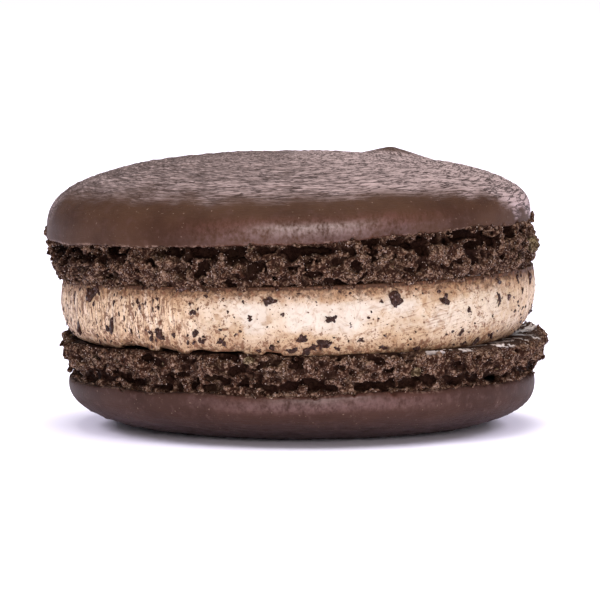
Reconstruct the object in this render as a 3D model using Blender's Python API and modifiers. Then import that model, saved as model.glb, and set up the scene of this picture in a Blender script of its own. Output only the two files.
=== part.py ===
"""A chocolate macaron: two domed almond cookies with craggy feet, and a crumb-flecked cream between them.

The scene is in metres with +Z up. The origin is the middle of the flat spot on which the lower
cookie rests, and -Y is the front.
"""

import math
import random
from dataclasses import dataclass

import bmesh
import bpy
from mathutils import Vector, noise

MM = 0.001
SEED = 11

# Heights above the resting spot.
LOWER_COOKIE_TOP = 8.4 * MM
UPPER_COOKIE_UNDERSIDE = 14.4 * MM
BEDDING_GAP = 0.3 * MM  # between the cream and the cookie on either side of it

# The cream: a squeezed disc whose lower edge rounds in, little at the front and most on the right.
CREAM_CENTRE_X = -0.33 * MM
CREAM_RADIUS = 22.1 * MM
CREAM_WIDEST_SHARE = 0.62  # of its height, from below
CREAM_TOP_TUCK = 0.25 * MM
CREAM_FRONT_TUCK = 0.45 * MM
CREAM_SIDE_TUCK = 2.4 * MM  # added to it at the sides and the back
CREAM_TUCK_LEAN = 0.5 * MM  # more tuck on the right, less on the left
CREAM_SWELL = 0.22 * MM  # how far its side wanders in and out
CREAM_SWELL_LENGTH = 6.0 * MM
CREAM_SEGMENTS = 88
CREAM_SIDE_ROWS = 8

# Cookie crumbs on the side of the cream.
CRUMB_COUNT = 54  # spread by rule, besides the ones placed one by one at the front
CRUMB_LONGEST = 1.35 * MM
CRUMB_SHORTEST = 0.65 * MM
CRUMB_DEPTH_SHARE = 0.75  # thickness of a crumb into the cream, of its width
CRUMB_PROUD_SHARE = 0.28  # of its thickness
CRUMB_JITTER = 0.22  # how far a crumb's corners leave the round
CRUMB_EDGE_ROOM = 0.75 * MM  # from the top or bottom of the cream to a crumb's middle
GOLDEN_ANGLE = math.pi * (3 - math.sqrt(5))


@dataclass(frozen=True)
class CookieSizes:
    """Sizes of one cookie, dome up, with its flat inner face at height 0."""

    skin_radius: float
    foot_radius: float  # where it bulges most
    foot_shift: float  # the foot's centre from the skin's, along X
    inner_radius: float  # of the flat inner face
    inner_shift: float
    foot_height: float
    dome_height: float
    flat_share: float  # radius of the flat at the crest, of the skin's radius
    crown: float  # exponent of the dome's middle: higher is flatter
    shoulder: float  # exponent of the dome's edge: higher is blunter
    shoulder_lean: float  # added to it on the right, taken off on the left
    peak_height: float  # of the tip left where the piped batter was pulled away
    skin_tilt: float  # rise of the skin's rim towards +X
    skin_rise: float  # one more rise of the rim, at the front right
    inner_tilt: float  # rise of the inner face towards +X
    curl_height: float  # of the inner face's edge, behind the cream
    triangles: int
    relief_seed: float


UPPER = CookieSizes(
    skin_radius=22.55 * MM,
    foot_radius=23.0 * MM,
    foot_shift=0.25 * MM,
    inner_radius=21.9 * MM,
    inner_shift=0.55 * MM,
    foot_height=3.95 * MM,
    dome_height=7.1 * MM,
    flat_share=0.0,
    crown=2.1,
    shoulder=2.8,
    shoulder_lean=0.0,
    peak_height=1.0 * MM,
    skin_tilt=math.radians(2.3),
    skin_rise=0.35 * MM,
    inner_tilt=math.radians(1.35),
    curl_height=0.0,
    triangles=5500,
    relief_seed=3.7,
)
LOWER = CookieSizes(
    skin_radius=21.75 * MM,
    foot_radius=22.75 * MM,
    foot_shift=0.2 * MM,
    inner_radius=22.5 * MM,
    inner_shift=0.2 * MM,
    foot_height=3.6 * MM,
    dome_height=4.8 * MM,
    flat_share=0.48,
    crown=2.4,
    shoulder=2.35,
    shoulder_lean=0.25,
    peak_height=0.0,
    skin_tilt=math.radians(-0.6),
    skin_rise=0.0,
    inner_tilt=math.radians(-0.3),
    curl_height=0.6 * MM,
    triangles=4700,
    relief_seed=9.2,
)
UPPER_CENTRE_X = -1.15 * MM
LOWER_CENTRE_X = 0.08 * MM
TURNED_STEPS = 340  # before the mesh is thinned
DOME_ROWS = 13
FOOT_ROWS = 10
SKIN_LIP = 0.35 * MM  # the rim of the skin overhangs the foot by this
SKIN_SIDE = 0.6 * MM  # upright stretch of the dome above its rim
RIM_WANDER = 0.25 * MM  # unevenness of the rim's height
RIM_WANDER_LENGTH = 5.0 * MM
FOOT_BULGE_AT = 0.45  # how far down the foot it is widest
RAGGED_EDGE = 0.5 * MM  # how far the edge of the inner face is broken back

SKIN_RISE_ANGLE = math.radians(-50)
SKIN_RISE_SPREAD = 0.4
CURL_STARTS = -1.0 * MM  # behind the middle
CURL_FULL = 5.0 * MM
CURL_WIDTH = 1.6 * MM
PEAK_AT = (9.7 * MM, 7.0 * MM)  # from the cookie's centre
PEAK_RADIUS = 3.0 * MM
PEAK_POINTEDNESS = 1.5

# Relief of the feet: rounded lumps with creases between them, and torn hollows under the skin.
LUMP_LENGTH = 1.45 * MM
LUMP_HEIGHT = 0.95 * MM
LUMP_LEVEL = 0.42  # share of a lump's height that stands out from the turned foot
HOLLOW_LENGTH = 1.7 * MM
HOLLOW_DEPTH = 1.0 * MM
FOOT_SWELL = 0.3 * MM
FOOT_SWELL_LENGTH = 5.5 * MM


@dataclass(frozen=True)
class Crumb:
    """A crumb on the cream's side: place across the front, height above the ground, and size."""

    across: float
    height: float
    wide: float
    tall: float


FRONT_CRUMBS = (
    Crumb(8.6 * MM, 12.9 * MM, 1.2 * MM, 1.6 * MM),
    Crumb(12.9 * MM, 12.9 * MM, 0.9 * MM, 1.1 * MM),
    Crumb(2.8 * MM, 11.7 * MM, 1.2 * MM, 0.9 * MM),
    Crumb(-4.1 * MM, 13.0 * MM, 1.0 * MM, 0.8 * MM),
    Crumb(-12.9 * MM, 9.9 * MM, 1.2 * MM, 0.9 * MM),
    Crumb(-9.5 * MM, 9.8 * MM, 0.9 * MM, 0.8 * MM),
    Crumb(18.2 * MM, 12.4 * MM, 0.9 * MM, 0.8 * MM),
    Crumb(-20.9 * MM, 12.3 * MM, 1.1 * MM, 1.4 * MM),
    Crumb(2.1 * MM, 9.6 * MM, 1.3 * MM, 0.7 * MM),
    Crumb(21.5 * MM, 10.9 * MM, 0.9 * MM, 0.9 * MM),
)


def clear_scene():
    """Removes whatever the scene held before."""
    for old in list(bpy.data.objects):
        bpy.data.objects.remove(old, do_unlink=True)


def new_collection(name):
    """Makes a collection in the scene."""
    made = bpy.data.collections.new(name)
    bpy.context.scene.collection.children.link(made)
    return made


def finish(name, colour, roughness):
    """Makes a plain material of one colour."""
    material = bpy.data.materials.new(name)
    material.use_nodes = True
    shader = material.node_tree.nodes["Principled BSDF"]
    shader.inputs["Base Color"].default_value = (*colour, 1.0)
    shader.inputs["Roughness"].default_value = roughness
    shader.inputs["Metallic"].default_value = 0.0
    return material


def turned(name, profile, steps, collection):
    """Turns a profile of (radius, height) points about Z, from its top down, into a closed mesh object."""
    mesh = bpy.data.meshes.new(name)
    corners = [(radius, 0.0, height) for radius, height in profile]
    edges = [(i, i + 1) for i in range(len(corners) - 1)]
    mesh.from_pydata(corners, edges, [])
    piece = bpy.data.objects.new(name, mesh)
    collection.objects.link(piece)
    screw = piece.modifiers.new("Turn", "SCREW")
    screw.steps = steps
    screw.render_steps = steps
    screw.use_merge_vertices = True
    screw.merge_threshold = 0.00001
    apply_modifiers(piece)
    return piece


def apply_modifiers(piece):
    """Replaces an object's mesh by the one that its modifiers make."""
    graph = bpy.context.evaluated_depsgraph_get()
    graph.update()
    made = bpy.data.meshes.new_from_object(piece.evaluated_get(graph))
    old = piece.data
    piece.modifiers.clear()
    piece.data = made
    bpy.data.meshes.remove(old)
    made.name = piece.name


def smooth_step(low, high, value):
    """Rises from 0 at low to 1 at high, with soft ends."""
    share = min(max((value - low) / (high - low), 0.0), 1.0)
    return share * share * (3 - 2 * share)


def mix(start, end, share):
    """The value that lies this share of the way from start to end."""
    return start + (end - start) * share


def wander(point, length, seed):
    """A soft random value from about -1 to 1, which changes over this length."""
    return noise.noise(point / length + Vector((seed, -seed, 2 * seed)))


def dome_profile(sizes):
    """Points down the outside of the skin, from the crest to its rim."""
    points = []
    for row in range(DOME_ROWS + 1):
        turn = math.pi / 2 * row / DOME_ROWS
        share = math.sin(turn) ** 0.9
        fall = max((share - sizes.flat_share) / (1 - sizes.flat_share), 0.0)
        rise = max(1 - fall**sizes.crown, 0.0) ** (1 / sizes.shoulder)
        height = sizes.foot_height + SKIN_SIDE + (sizes.dome_height - SKIN_SIDE) * rise
        points.append((sizes.skin_radius * share, height))
    return points


def foot_profile(sizes):
    """Points down the outside of the foot, from under the skin's rim to the inner face."""
    top = sizes.skin_radius - SKIN_LIP
    points = []
    for row in range(FOOT_ROWS + 1):
        down = row / FOOT_ROWS
        if down < FOOT_BULGE_AT:
            radius = mix(top, sizes.foot_radius, math.sin(math.pi / 2 * down / FOOT_BULGE_AT))
        else:
            past = (down - FOOT_BULGE_AT) / (1 - FOOT_BULGE_AT)
            radius = mix(sizes.foot_radius, sizes.inner_radius, past**2)
        points.append((radius, sizes.foot_height * (1 - down)))
    return points


def cookie_profile(sizes):
    """The whole outline of a cookie, from the crest round to the middle of its inner face."""
    rim = [(sizes.skin_radius - SKIN_LIP / 3, sizes.foot_height + SKIN_SIDE / 3)]
    inner = [(sizes.inner_radius * share, 0.0) for share in (0.96, 0.92, 0.5, 0.0)]
    return dome_profile(sizes) + rim + foot_profile(sizes) + inner


def peak_share(point):
    """Share of its full height that the peak adds at a point of the dome."""
    away = math.hypot(point.x - PEAK_AT[0], point.y - PEAK_AT[1]) / PEAK_RADIUS
    return max(1 - away, 0.0) ** PEAK_POINTEDNESS


def foot_relief(point, down, seed):
    """How far a point of the foot stands out, with down 0 under the skin and 1 at the inner face."""
    offset = Vector((seed, seed, seed))
    nearest = noise.voronoi(point / LUMP_LENGTH + offset)[0][0]
    lump = LUMP_HEIGHT * (LUMP_LEVEL - nearest)
    torn = smooth_step(0.05, 0.4, wander(point, HOLLOW_LENGTH, seed))
    under_skin = mix(1.0, 0.4, smooth_step(0.25, 0.75, down))
    hollow = HOLLOW_DEPTH * torn * under_skin
    swell = FOOT_SWELL * wander(point, FOOT_SWELL_LENGTH, seed + 1)
    return (lump - hollow) * smooth_step(-0.05, 0.15, down) + swell


def rim_height(sizes, out):
    """Height of the skin's rim at a point of the ground plan."""
    away = (math.atan2(out.y, out.x) - SKIN_RISE_ANGLE) / SKIN_RISE_SPREAD
    tilted = math.tan(sizes.skin_tilt) * out.x + sizes.skin_rise * math.exp(-(away**2))
    wandering = RIM_WANDER * wander(out, RIM_WANDER_LENGTH, sizes.relief_seed + 2)
    return sizes.foot_height + tilted + wandering


def inner_height(sizes, out):
    """Height of the inner face at a point of the ground plan. A cookie that is turned over curls down."""
    behind = smooth_step(CURL_STARTS, CURL_FULL, -out.y)
    edge = smooth_step(sizes.inner_radius - CURL_WIDTH, sizes.inner_radius, out.length)
    return math.tan(sizes.inner_tilt) * out.x - sizes.curl_height * behind * edge


def skin_height(sizes, point, rim):
    """Height to which a point of the dome goes, over a rim of this height."""
    lean = point.x / sizes.skin_radius
    rise = (point.z - sizes.foot_height) / sizes.dome_height
    rise **= sizes.shoulder / (sizes.shoulder + sizes.shoulder_lean * lean)
    smooth = mix(rim, sizes.foot_height + sizes.dome_height, rise)
    return smooth + sizes.peak_height * peak_share(point)


def uneven_cookie(piece, sizes):
    """Moves a turned cookie's points to the tilted, wandering rim and the torn foot of a baked one."""
    for vertex in piece.data.vertices:
        point = vertex.co.copy()
        out = Vector((point.x, point.y, 0.0))
        rim = rim_height(sizes, out)
        if point.z > sizes.foot_height:
            vertex.co.z = skin_height(sizes, point, rim)
            continue
        down = 1 - point.z / sizes.foot_height
        inner = inner_height(sizes, out)
        edge = smooth_step(0.92, 0.97, out.length / sizes.inner_radius)
        if edge > 0:
            broken = abs(wander(out, LUMP_LENGTH, sizes.relief_seed + 4))
            inner += RAGGED_EDGE * broken * edge
            stand_out = foot_relief(point, down, sizes.relief_seed) * edge
            vertex.co += out.normalized() * stand_out
        below = smooth_step(FOOT_BULGE_AT, 1.0, down)
        vertex.co.x += mix(sizes.foot_shift, sizes.inner_shift, below)
        vertex.co.z = mix(rim, inner, down)


def thin_out(piece, triangles):
    """Thins a mesh to about this many triangles, which stay where the form bends most."""
    faces = piece.data.polygons
    present = sum(len(face.vertices) - 2 for face in faces)
    thinner = piece.modifiers.new("Thin", "DECIMATE")
    thinner.decimate_type = "COLLAPSE"
    thinner.ratio = min(triangles / present, 1.0)
    thinner.use_collapse_triangulate = True
    apply_modifiers(piece)


def cookie(name, sizes, material, collection):
    """Makes one cookie, dome up, with the centre of its inner face at its origin."""
    piece = turned(name, cookie_profile(sizes), TURNED_STEPS, collection)
    uneven_cookie(piece, sizes)
    thin_out(piece, sizes.triangles)
    piece.data.shade_smooth()
    piece.data.set_sharp_from_angle(angle=math.radians(50))
    piece.data.materials.append(material)
    return piece


def upper_cookie(material, collection):
    """The cookie on top, dome up."""
    piece = cookie("upper_cookie", UPPER, material, collection)
    piece.location = (UPPER_CENTRE_X, 0.0, UPPER_COOKIE_UNDERSIDE)
    return piece


def lower_cookie(material, collection):
    """The cookie underneath, turned over so that it rests on the flat of its dome."""
    piece = cookie("lower_cookie", LOWER, material, collection)
    piece.location = (LOWER_CENTRE_X, 0.0, LOWER_COOKIE_TOP)
    piece.rotation_euler = (math.pi, 0.0, 0.0)
    return piece


def cream_radius(share, angle):
    """The cream's radius at a share of its height from below and an angle about Z."""
    if share >= CREAM_WIDEST_SHARE:
        above = (share - CREAM_WIDEST_SHARE) / (1 - CREAM_WIDEST_SHARE)
        return CREAM_RADIUS - CREAM_TOP_TUCK * above**2
    below = 1 - share / CREAM_WIDEST_SHARE
    away = 1 - max(-math.sin(angle), 0.0) ** 2
    tuck = CREAM_FRONT_TUCK + away * (CREAM_SIDE_TUCK + CREAM_TUCK_LEAN * math.cos(angle))
    return CREAM_RADIUS - tuck * (1 - math.sqrt(max(1 - below**2, 0.0)))


def cream_floor():
    """Height of the cream's underside."""
    return LOWER_COOKIE_TOP + BEDDING_GAP


def cream_ceiling(across):
    """Height of the cream's top, which follows the tilt of the cookie on it."""
    rise = math.tan(UPPER.inner_tilt) * (across - UPPER_CENTRE_X)
    return UPPER_COOKIE_UNDERSIDE - BEDDING_GAP + rise


def cream_point(angle, share, scale=1.0):
    """A point of the cream at an angle about Z and a share of its height, in world coordinates."""
    outward = Vector((math.cos(angle), math.sin(angle), 0.0))
    point = outward * cream_radius(share, angle) * scale
    point.x += CREAM_CENTRE_X
    point.z = mix(cream_floor(), cream_ceiling(point.x), share)
    swell = CREAM_SWELL * wander(point, CREAM_SWELL_LENGTH, SEED) * scale
    return point + outward * swell * smooth_step(0.0, 0.25, share)


def cream_body(material, collection):
    """The bare cream, before its crumbs."""
    side = [(CREAM_RADIUS, 1 - row / CREAM_SIDE_ROWS) for row in range(CREAM_SIDE_ROWS + 1)]
    profile = [(0.0, 1.0)] + side + [(0.0, 0.0)]
    piece = turned("cream_filling", profile, CREAM_SEGMENTS, collection)
    for vertex in piece.data.vertices:
        angle = math.atan2(vertex.co.y, vertex.co.x)
        scale = math.hypot(vertex.co.x, vertex.co.y) / CREAM_RADIUS
        vertex.co = cream_point(angle, vertex.co.z, scale)
    piece.data.shade_smooth()
    piece.data.set_sharp_from_angle(angle=math.radians(50))
    piece.data.materials.append(material)
    return piece


def share_of_height(across, height):
    """The share of the cream's height at which this height lies."""
    return (height - cream_floor()) / (cream_ceiling(across) - cream_floor())


def chip(name, angle, share, wide, tall, draws, collection):
    """A crumb: a small angular lump that stands a little proud of the cream."""
    bm = bmesh.new()
    bmesh.ops.create_icosphere(bm, subdivisions=1, radius=0.5)
    thick = min(wide, tall) * CRUMB_DEPTH_SHARE
    for vertex in bm.verts:
        vertex.co *= 1 + draws.uniform(-CRUMB_JITTER, CRUMB_JITTER)
        vertex.co = Vector((vertex.co.x * thick, vertex.co.y * wide, vertex.co.z * tall))
    mesh = bpy.data.meshes.new(name)
    bm.to_mesh(mesh)
    bm.free()
    piece = bpy.data.objects.new(name, mesh)
    surface = cream_point(angle, share)
    outward = Vector((math.cos(angle), math.sin(angle), 0.0))
    piece.location = surface + outward * thick * (CRUMB_PROUD_SHARE - 0.5)
    piece.rotation_euler = (draws.uniform(-0.5, 0.5), draws.uniform(-0.2, 0.2), angle)
    collection.objects.link(piece)


def front_chips(draws, collection):
    """The larger crumbs of the front, each in its place."""
    for number, crumb in enumerate(FRONT_CRUMBS):
        across = min(max((crumb.across - CREAM_CENTRE_X) / CREAM_RADIUS, -1.0), 1.0)
        angle = -math.acos(across)
        share = share_of_height(crumb.across, crumb.height)
        chip(f"front_crumb_{number}", angle, share, crumb.wide, crumb.tall, draws, collection)


def spread_chips(draws, collection):
    """Crumbs all round, the largest first, each a golden angle further on than the one before."""
    tall_cream = UPPER_COOKIE_UNDERSIDE - LOWER_COOKIE_TOP - 2 * BEDDING_GAP
    room = CRUMB_EDGE_ROOM / tall_cream
    for number in range(CRUMB_COUNT):
        angle = number * GOLDEN_ANGLE
        share = draws.uniform(room, 1 - room)
        wide = mix(CRUMB_LONGEST, CRUMB_SHORTEST, number / CRUMB_COUNT)
        tall = wide * draws.uniform(0.6, 1.0)
        chip(f"crumb_{number}", angle, share, wide, tall, draws, collection)


def cream_filling(material, collection):
    """The cream with its crumbs fused to its side."""
    piece = cream_body(material, collection)
    crumbs = new_collection("crumbs")
    draws = random.Random(SEED)
    front_chips(draws, crumbs)
    spread_chips(draws, crumbs)
    union = piece.modifiers.new("Fuse", "BOOLEAN")
    union.operation = "UNION"
    union.operand_type = "COLLECTION"
    union.collection = crumbs
    union.solver = "EXACT"
    apply_modifiers(piece)
    for crumb in list(crumbs.objects):
        bpy.data.objects.remove(crumb, do_unlink=True)
    bpy.data.collections.remove(crumbs)
    return piece


def build():
    """Builds the macaron."""
    clear_scene()
    macaron = new_collection("macaron")
    baked = finish("chocolate_cookie", (0.075, 0.042, 0.028), 0.7)
    whipped = finish("cookie_cream", (0.70, 0.52, 0.40), 0.55)
    lower_cookie(baked, macaron)
    cream_filling(whipped, macaron)
    upper_cookie(baked.copy(), macaron)


build()
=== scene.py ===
"""Looks of a chocolate macaron: satin skins, torn spongy feet, and a cream full of cookie crumbs.

Lengths are in millimetres up to the point where a mesh is made, and metres in the scene. The origin
is the middle of the flat spot on which the lower cookie rests, +Z is up and -Y is the front.
"""

from __future__ import annotations

import itertools
import logging
import math
import random
from dataclasses import dataclass
from enum import Enum
from functools import cached_property
from typing import Mapping, Sequence

import bpy
import numpy as np
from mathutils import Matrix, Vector, noise


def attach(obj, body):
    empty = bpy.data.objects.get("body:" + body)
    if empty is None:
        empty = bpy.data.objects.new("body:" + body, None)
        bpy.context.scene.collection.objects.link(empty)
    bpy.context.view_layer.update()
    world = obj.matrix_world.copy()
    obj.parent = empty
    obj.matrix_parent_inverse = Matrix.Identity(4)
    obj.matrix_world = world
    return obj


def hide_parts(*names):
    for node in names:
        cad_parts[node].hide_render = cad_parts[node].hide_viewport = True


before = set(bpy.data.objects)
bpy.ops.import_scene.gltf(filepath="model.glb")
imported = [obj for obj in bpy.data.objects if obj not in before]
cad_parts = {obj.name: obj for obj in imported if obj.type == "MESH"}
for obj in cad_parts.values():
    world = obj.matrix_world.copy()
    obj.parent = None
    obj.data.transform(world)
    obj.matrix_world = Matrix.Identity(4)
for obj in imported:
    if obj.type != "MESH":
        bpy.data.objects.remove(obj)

LOG = logging.getLogger("macaron")
MM = 0.001
BODY = "root"

# Heights above the resting spot, and places across it.
LOWER_COOKIE_TOP = 8.4
UPPER_COOKIE_UNDERSIDE = 14.4
UPPER_CENTRE_X = -1.15
LOWER_CENTRE_X = 0.08

GOLDEN_ANGLE = math.pi * (3 - math.sqrt(5))
PLAN = (1.0, 1.0, 0.0)  # factors that bring places down to the ground plan
DRAWN_OUT = (0.55, 0.55, 1.0)  # factors on turned places, which draw a pattern out round the axis

Place = tuple[float, float, float]
Colour = tuple[float, float, float]
Pair = tuple[float, float]
Number = "Socket | float"
Lengths = "float | Sequence[float]"
Array = np.ndarray
Mesh = tuple[Array, list[Array], dict[str, Array]]  # points, arrays of faces, values of each point by name
Object = bpy.types.Object
Material = bpy.types.Material


# ---- Numbers ----


def ramp(low: float, high: float, value: Array) -> Array:
    """Rises from 0 at low to 1 at high, with soft ends.

    Args:
        low: value that gives 0.
        high: value that gives 1; it may be the smaller of the two.
        value: one number or an array.

    Returns:
        The share, of the same shape as value.
    """
    share = np.clip((np.asarray(value) - low) / (high - low), 0.0, 1.0)
    return share * share * (3 - 2 * share)


def mix(start: Array, end: Array, share: Array) -> Array:
    """The value that lies this share of the way from start to end."""
    return start + (end - start) * share


def soft_max(one: Array, other: Array, blend: float) -> Array:
    """The larger of two values, rounded where they cross.

    Args:
        one: first value.
        other: second value.
        blend: width of the rounding, in the values' own unit.

    Returns:
        The rounded maximum.
    """
    near = np.clip(0.5 + 0.5 * (one - other) / blend, 0.0, 1.0)
    return mix(other, one, near) + blend * near * (1 - near)


def wander(points: Array, length: float, seed: float) -> Array:
    """A soft random value from about -1 to 1, the same that the solids' own relief follows.

    Args:
        points: array of (..., 3) places.
        length: distance over which the value changes.
        seed: number that picks the pattern.

    Returns:
        One value for each point.
    """
    offset = Vector((seed, -seed, 2 * seed))
    flat = (points / length).reshape(-1, 3)
    values = [noise.noise(Vector(point) + offset) for point in flat.tolist()]
    return np.array(values).reshape(points.shape[:-1])


def scatter_hash(cells: Array, seed: int) -> Array:
    """A random whole number for every cell of a grid.

    Args:
        cells: array of (..., 3) whole numbers.
        seed: whole number that picks the pattern.

    Returns:
        One number of 32 bits for each cell.
    """
    mixed = np.full(cells.shape[:-1], seed * 2654435761, np.int64)
    for axis, prime in enumerate((73856093, 19349663, 83492791)):
        mixed = mixed ^ (cells[..., axis] * prime)
    mixed = ((mixed ^ (mixed >> 15)) * 2246822519) & 0xFFFFFFFF
    return ((mixed ^ (mixed >> 13)) * 3266489917) & 0xFFFFFFFF


def grain_noise(points: Array, length: Lengths, seed: int) -> Array:
    """Fine gradient noise at many points at once.

    Args:
        points: array of (..., 3) places.
        length: size of its grain, one number or one for each axis.
        seed: whole number that picks the pattern.

    Returns:
        One value for each point, mostly between -1 and 1.
    """
    scaled = points / np.asarray(length)
    base = np.floor(scaled)
    part = (scaled - base).astype(np.float32)
    base = base.astype(np.int64)
    fade = part * part * part * (part * (part * 6 - 15) + 10)
    total = np.zeros(points.shape[:-1], np.float32)
    for corner in itertools.product((0, 1), repeat=3):
        mixed = scatter_hash(base + corner, seed)
        weight = np.ones(total.shape, np.float32)
        slope = np.zeros(total.shape, np.float32)
        for axis in range(3):
            gradient = ((mixed >> (9 * axis + 3)) & 511).astype(np.float32) / 255.5 - 1
            slope += gradient * (part[..., axis] - corner[axis])
            weight *= fade[..., axis] if corner[axis] else 1 - fade[..., axis]
        total += weight * slope
    return total * 1.8


def lump_noise(points: Array, length: Lengths, seed: int) -> Array:
    """Rounded lumps packed side by side: the distance to the nearest of many scattered spots.

    Args:
        points: array of (..., 3) places.
        length: size of a lump, one number or one for each axis.
        seed: whole number that picks the pattern.

    Returns:
        One value for each point, from 0 in the middle of a lump to about 1 between lumps.
    """
    scaled = points / np.asarray(length)
    base = np.floor(scaled)
    part = (scaled - base).astype(np.float32)
    base = base.astype(np.int64)
    nearest = np.full(points.shape[:-1], 9.0, np.float32)
    for step in itertools.product((-1, 0, 1), repeat=3):
        mixed = scatter_hash(base + step, seed)
        away = np.zeros(nearest.shape, np.float32)
        for axis in range(3):
            spot = ((mixed >> (9 * axis + 3)) & 511).astype(np.float32) / 511 + step[axis]
            away += (part[..., axis] - spot) ** 2
        nearest = np.minimum(nearest, away)
    return np.sqrt(nearest)


def round_points(radius: Array, angle: Array, height: Array) -> Array:
    """Places given by radius, angle about Z and height, as an array of (..., 3)."""
    radius, angle, height = np.broadcast_arrays(radius, angle, height)
    return np.stack([radius * np.cos(angle), radius * np.sin(angle), height], axis=-1)


def even_angles(count: int, start: float = 0.0) -> Array:
    """This many angles at even steps round a full turn, the first one start steps along."""
    return (np.arange(count) + start) / count * 2 * math.pi


def off_axis(points: Array) -> Array:
    """Distances of (..., 3) places from the Z axis."""
    return np.hypot(points[..., 0], points[..., 1])


# ---- Meshes ----


def make_piece(name: str, points: Array, faces: Sequence[Array], shares: Mapping[str, Array]) -> Object:
    """Makes a mesh object from arrays.

    Args:
        name: the piece's name.
        points: (n, 3) places in millimetres.
        faces: arrays of faces, each with its own number of corners to a face.
        shares: values for each point that the materials read, by name.

    Returns:
        The object, in the scene, smoothly shaded.
    """
    mesh = bpy.data.meshes.new(name)
    corners = np.concatenate([part.ravel() for part in faces]).astype(np.int32)
    widths = np.concatenate([np.full(len(part), part.shape[1]) for part in faces])
    starts = np.concatenate([[0], np.cumsum(widths)[:-1]]).astype(np.int32)
    mesh.vertices.add(len(points))
    mesh.vertices.foreach_set("co", (points * MM).astype(np.float32).ravel())
    mesh.loops.add(len(corners))
    mesh.loops.foreach_set("vertex_index", corners)
    mesh.polygons.add(len(widths))
    mesh.polygons.foreach_set("loop_start", starts)
    mesh.update(calc_edges=True)
    for key, values in shares.items():
        layer = mesh.attributes.new(key, "FLOAT", "POINT")
        layer.data.foreach_set("value", np.asarray(values, np.float32))
    mesh.shade_smooth()
    piece = bpy.data.objects.new(name, mesh)
    bpy.context.scene.collection.objects.link(piece)
    return piece


def triangle_count(piece: Object) -> int:
    """How many triangles an object's mesh has."""
    return sum(len(face.vertices) - 2 for face in piece.data.polygons)


def thin_out(piece: Object, triangles: int) -> None:
    """Thins a mesh, most where it is flat, if it has more triangles than this.

    Args:
        piece: the object.
        triangles: the most that it may keep.
    """
    present = triangle_count(piece)
    if present <= triangles:
        return
    thinner = piece.modifiers.new("Thin", "DECIMATE")
    thinner.ratio = triangles / present
    graph = bpy.context.evaluated_depsgraph_get()
    thinned = bpy.data.meshes.new_from_object(piece.evaluated_get(graph))
    old = piece.data
    piece.modifiers.clear()
    piece.data = thinned
    bpy.data.meshes.remove(old)
    thinned.name = piece.name


def ball_mesh(subdivisions: int) -> tuple[Array, Array]:
    """Makes the ball from which crumbs and grains are made.

    Args:
        subdivisions: how fine it is.

    Returns:
        The points of a ball one across, and its triangles.
    """
    bpy.ops.mesh.primitive_ico_sphere_add(subdivisions=subdivisions, radius=0.5)
    ball = bpy.context.object
    points = np.array([vertex.co[:] for vertex in ball.data.vertices])
    faces = np.array([face.vertices[:] for face in ball.data.polygons])
    mesh = ball.data
    bpy.data.objects.remove(ball, do_unlink=True)
    bpy.data.meshes.remove(mesh)
    return points, faces


def copies(bodies: Sequence[Array], faces: Array) -> Mesh:
    """Joins bodies that are meshed alike.

    Args:
        bodies: the points of each.
        faces: the faces of one.

    Returns:
        One mesh of them all.
    """
    return np.concatenate(bodies), [faces + k * len(bodies[0]) for k in range(len(bodies))], {}


def ring_faces(outer: Array, inner: Array) -> Array:
    """Faces between two closed rings of points, the second of which may have half as many.

    Args:
        outer: numbers of the first ring's points.
        inner: numbers of the second ring's points, as many or half as many.

    Returns:
        The triangles.
    """
    ahead = np.roll(outer, -1)
    if len(inner) == len(outer):
        far = np.roll(inner, -1)
        return np.concatenate([
            np.stack([outer, ahead, far], 1),
            np.stack([outer, far, inner], 1),
        ])
    even, odd, last = outer[0::2], outer[1::2], np.roll(outer[0::2], -1)
    far = np.roll(inner, -1)
    return np.concatenate([
        np.stack([even, odd, inner], 1),
        np.stack([inner, odd, far], 1),
        np.stack([odd, last, far], 1),
    ])


def turned_faces(rings: Sequence[Array], first_pole: int, last_pole: int) -> list[Array]:
    """Faces of a closed turned body.

    Args:
        rings: the numbers of each ring's points, from one pole to the other.
        first_pole: number of the point that closes the first ring.
        last_pole: number of the point that closes the last ring.

    Returns:
        Arrays of triangles.
    """
    faces = []
    for one, other in zip(rings[:-1], rings[1:]):
        if len(one) >= len(other):
            faces.append(ring_faces(one, other))
        else:
            faces.append(ring_faces(other, one)[:, ::-1])
    start, end = rings[0], rings[-1]
    faces.append(np.stack([np.roll(start, -1), start, np.full(len(start), first_pole)], 1))
    faces.append(np.stack([end, np.roll(end, -1), np.full(len(end), last_pole)], 1))
    return faces


def resample(outline: Sequence[Pair], spacing: float) -> Array:
    """Points at even distances along an open outline.

    Args:
        outline: its corners.
        spacing: the distance to keep to, about.

    Returns:
        (n, 2) points, with both ends.
    """
    corners = np.asarray(outline, float)
    along = np.concatenate([[0.0], np.cumsum(np.hypot(*np.diff(corners, axis=0).T))])
    steps = np.linspace(0.0, along[-1], max(int(round(along[-1] / spacing)), 1) + 1)
    return np.stack([np.interp(steps, along, corners[:, k]) for k in range(2)], 1)


def grown(seed: Array, allowed: Array) -> Array:
    """The allowed cells that hang together with a seed, on a grid that closes round its first axis.

    Args:
        seed: where to start.
        allowed: the cells that may be reached.

    Returns:
        The cells that are reached.
    """
    reached = seed & allowed
    count = -1
    while count != reached.sum():
        count = reached.sum()
        wider = reached | np.roll(reached, 1, 0) | np.roll(reached, -1, 0)
        wider[:, 1:] |= reached[:, :-1]
        wider[:, :-1] |= reached[:, 1:]
        wider[:, :, 1:] |= reached[:, :, :-1]
        wider[:, :, :-1] |= reached[:, :, 1:]
        reached = wider & allowed
    return reached


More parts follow.
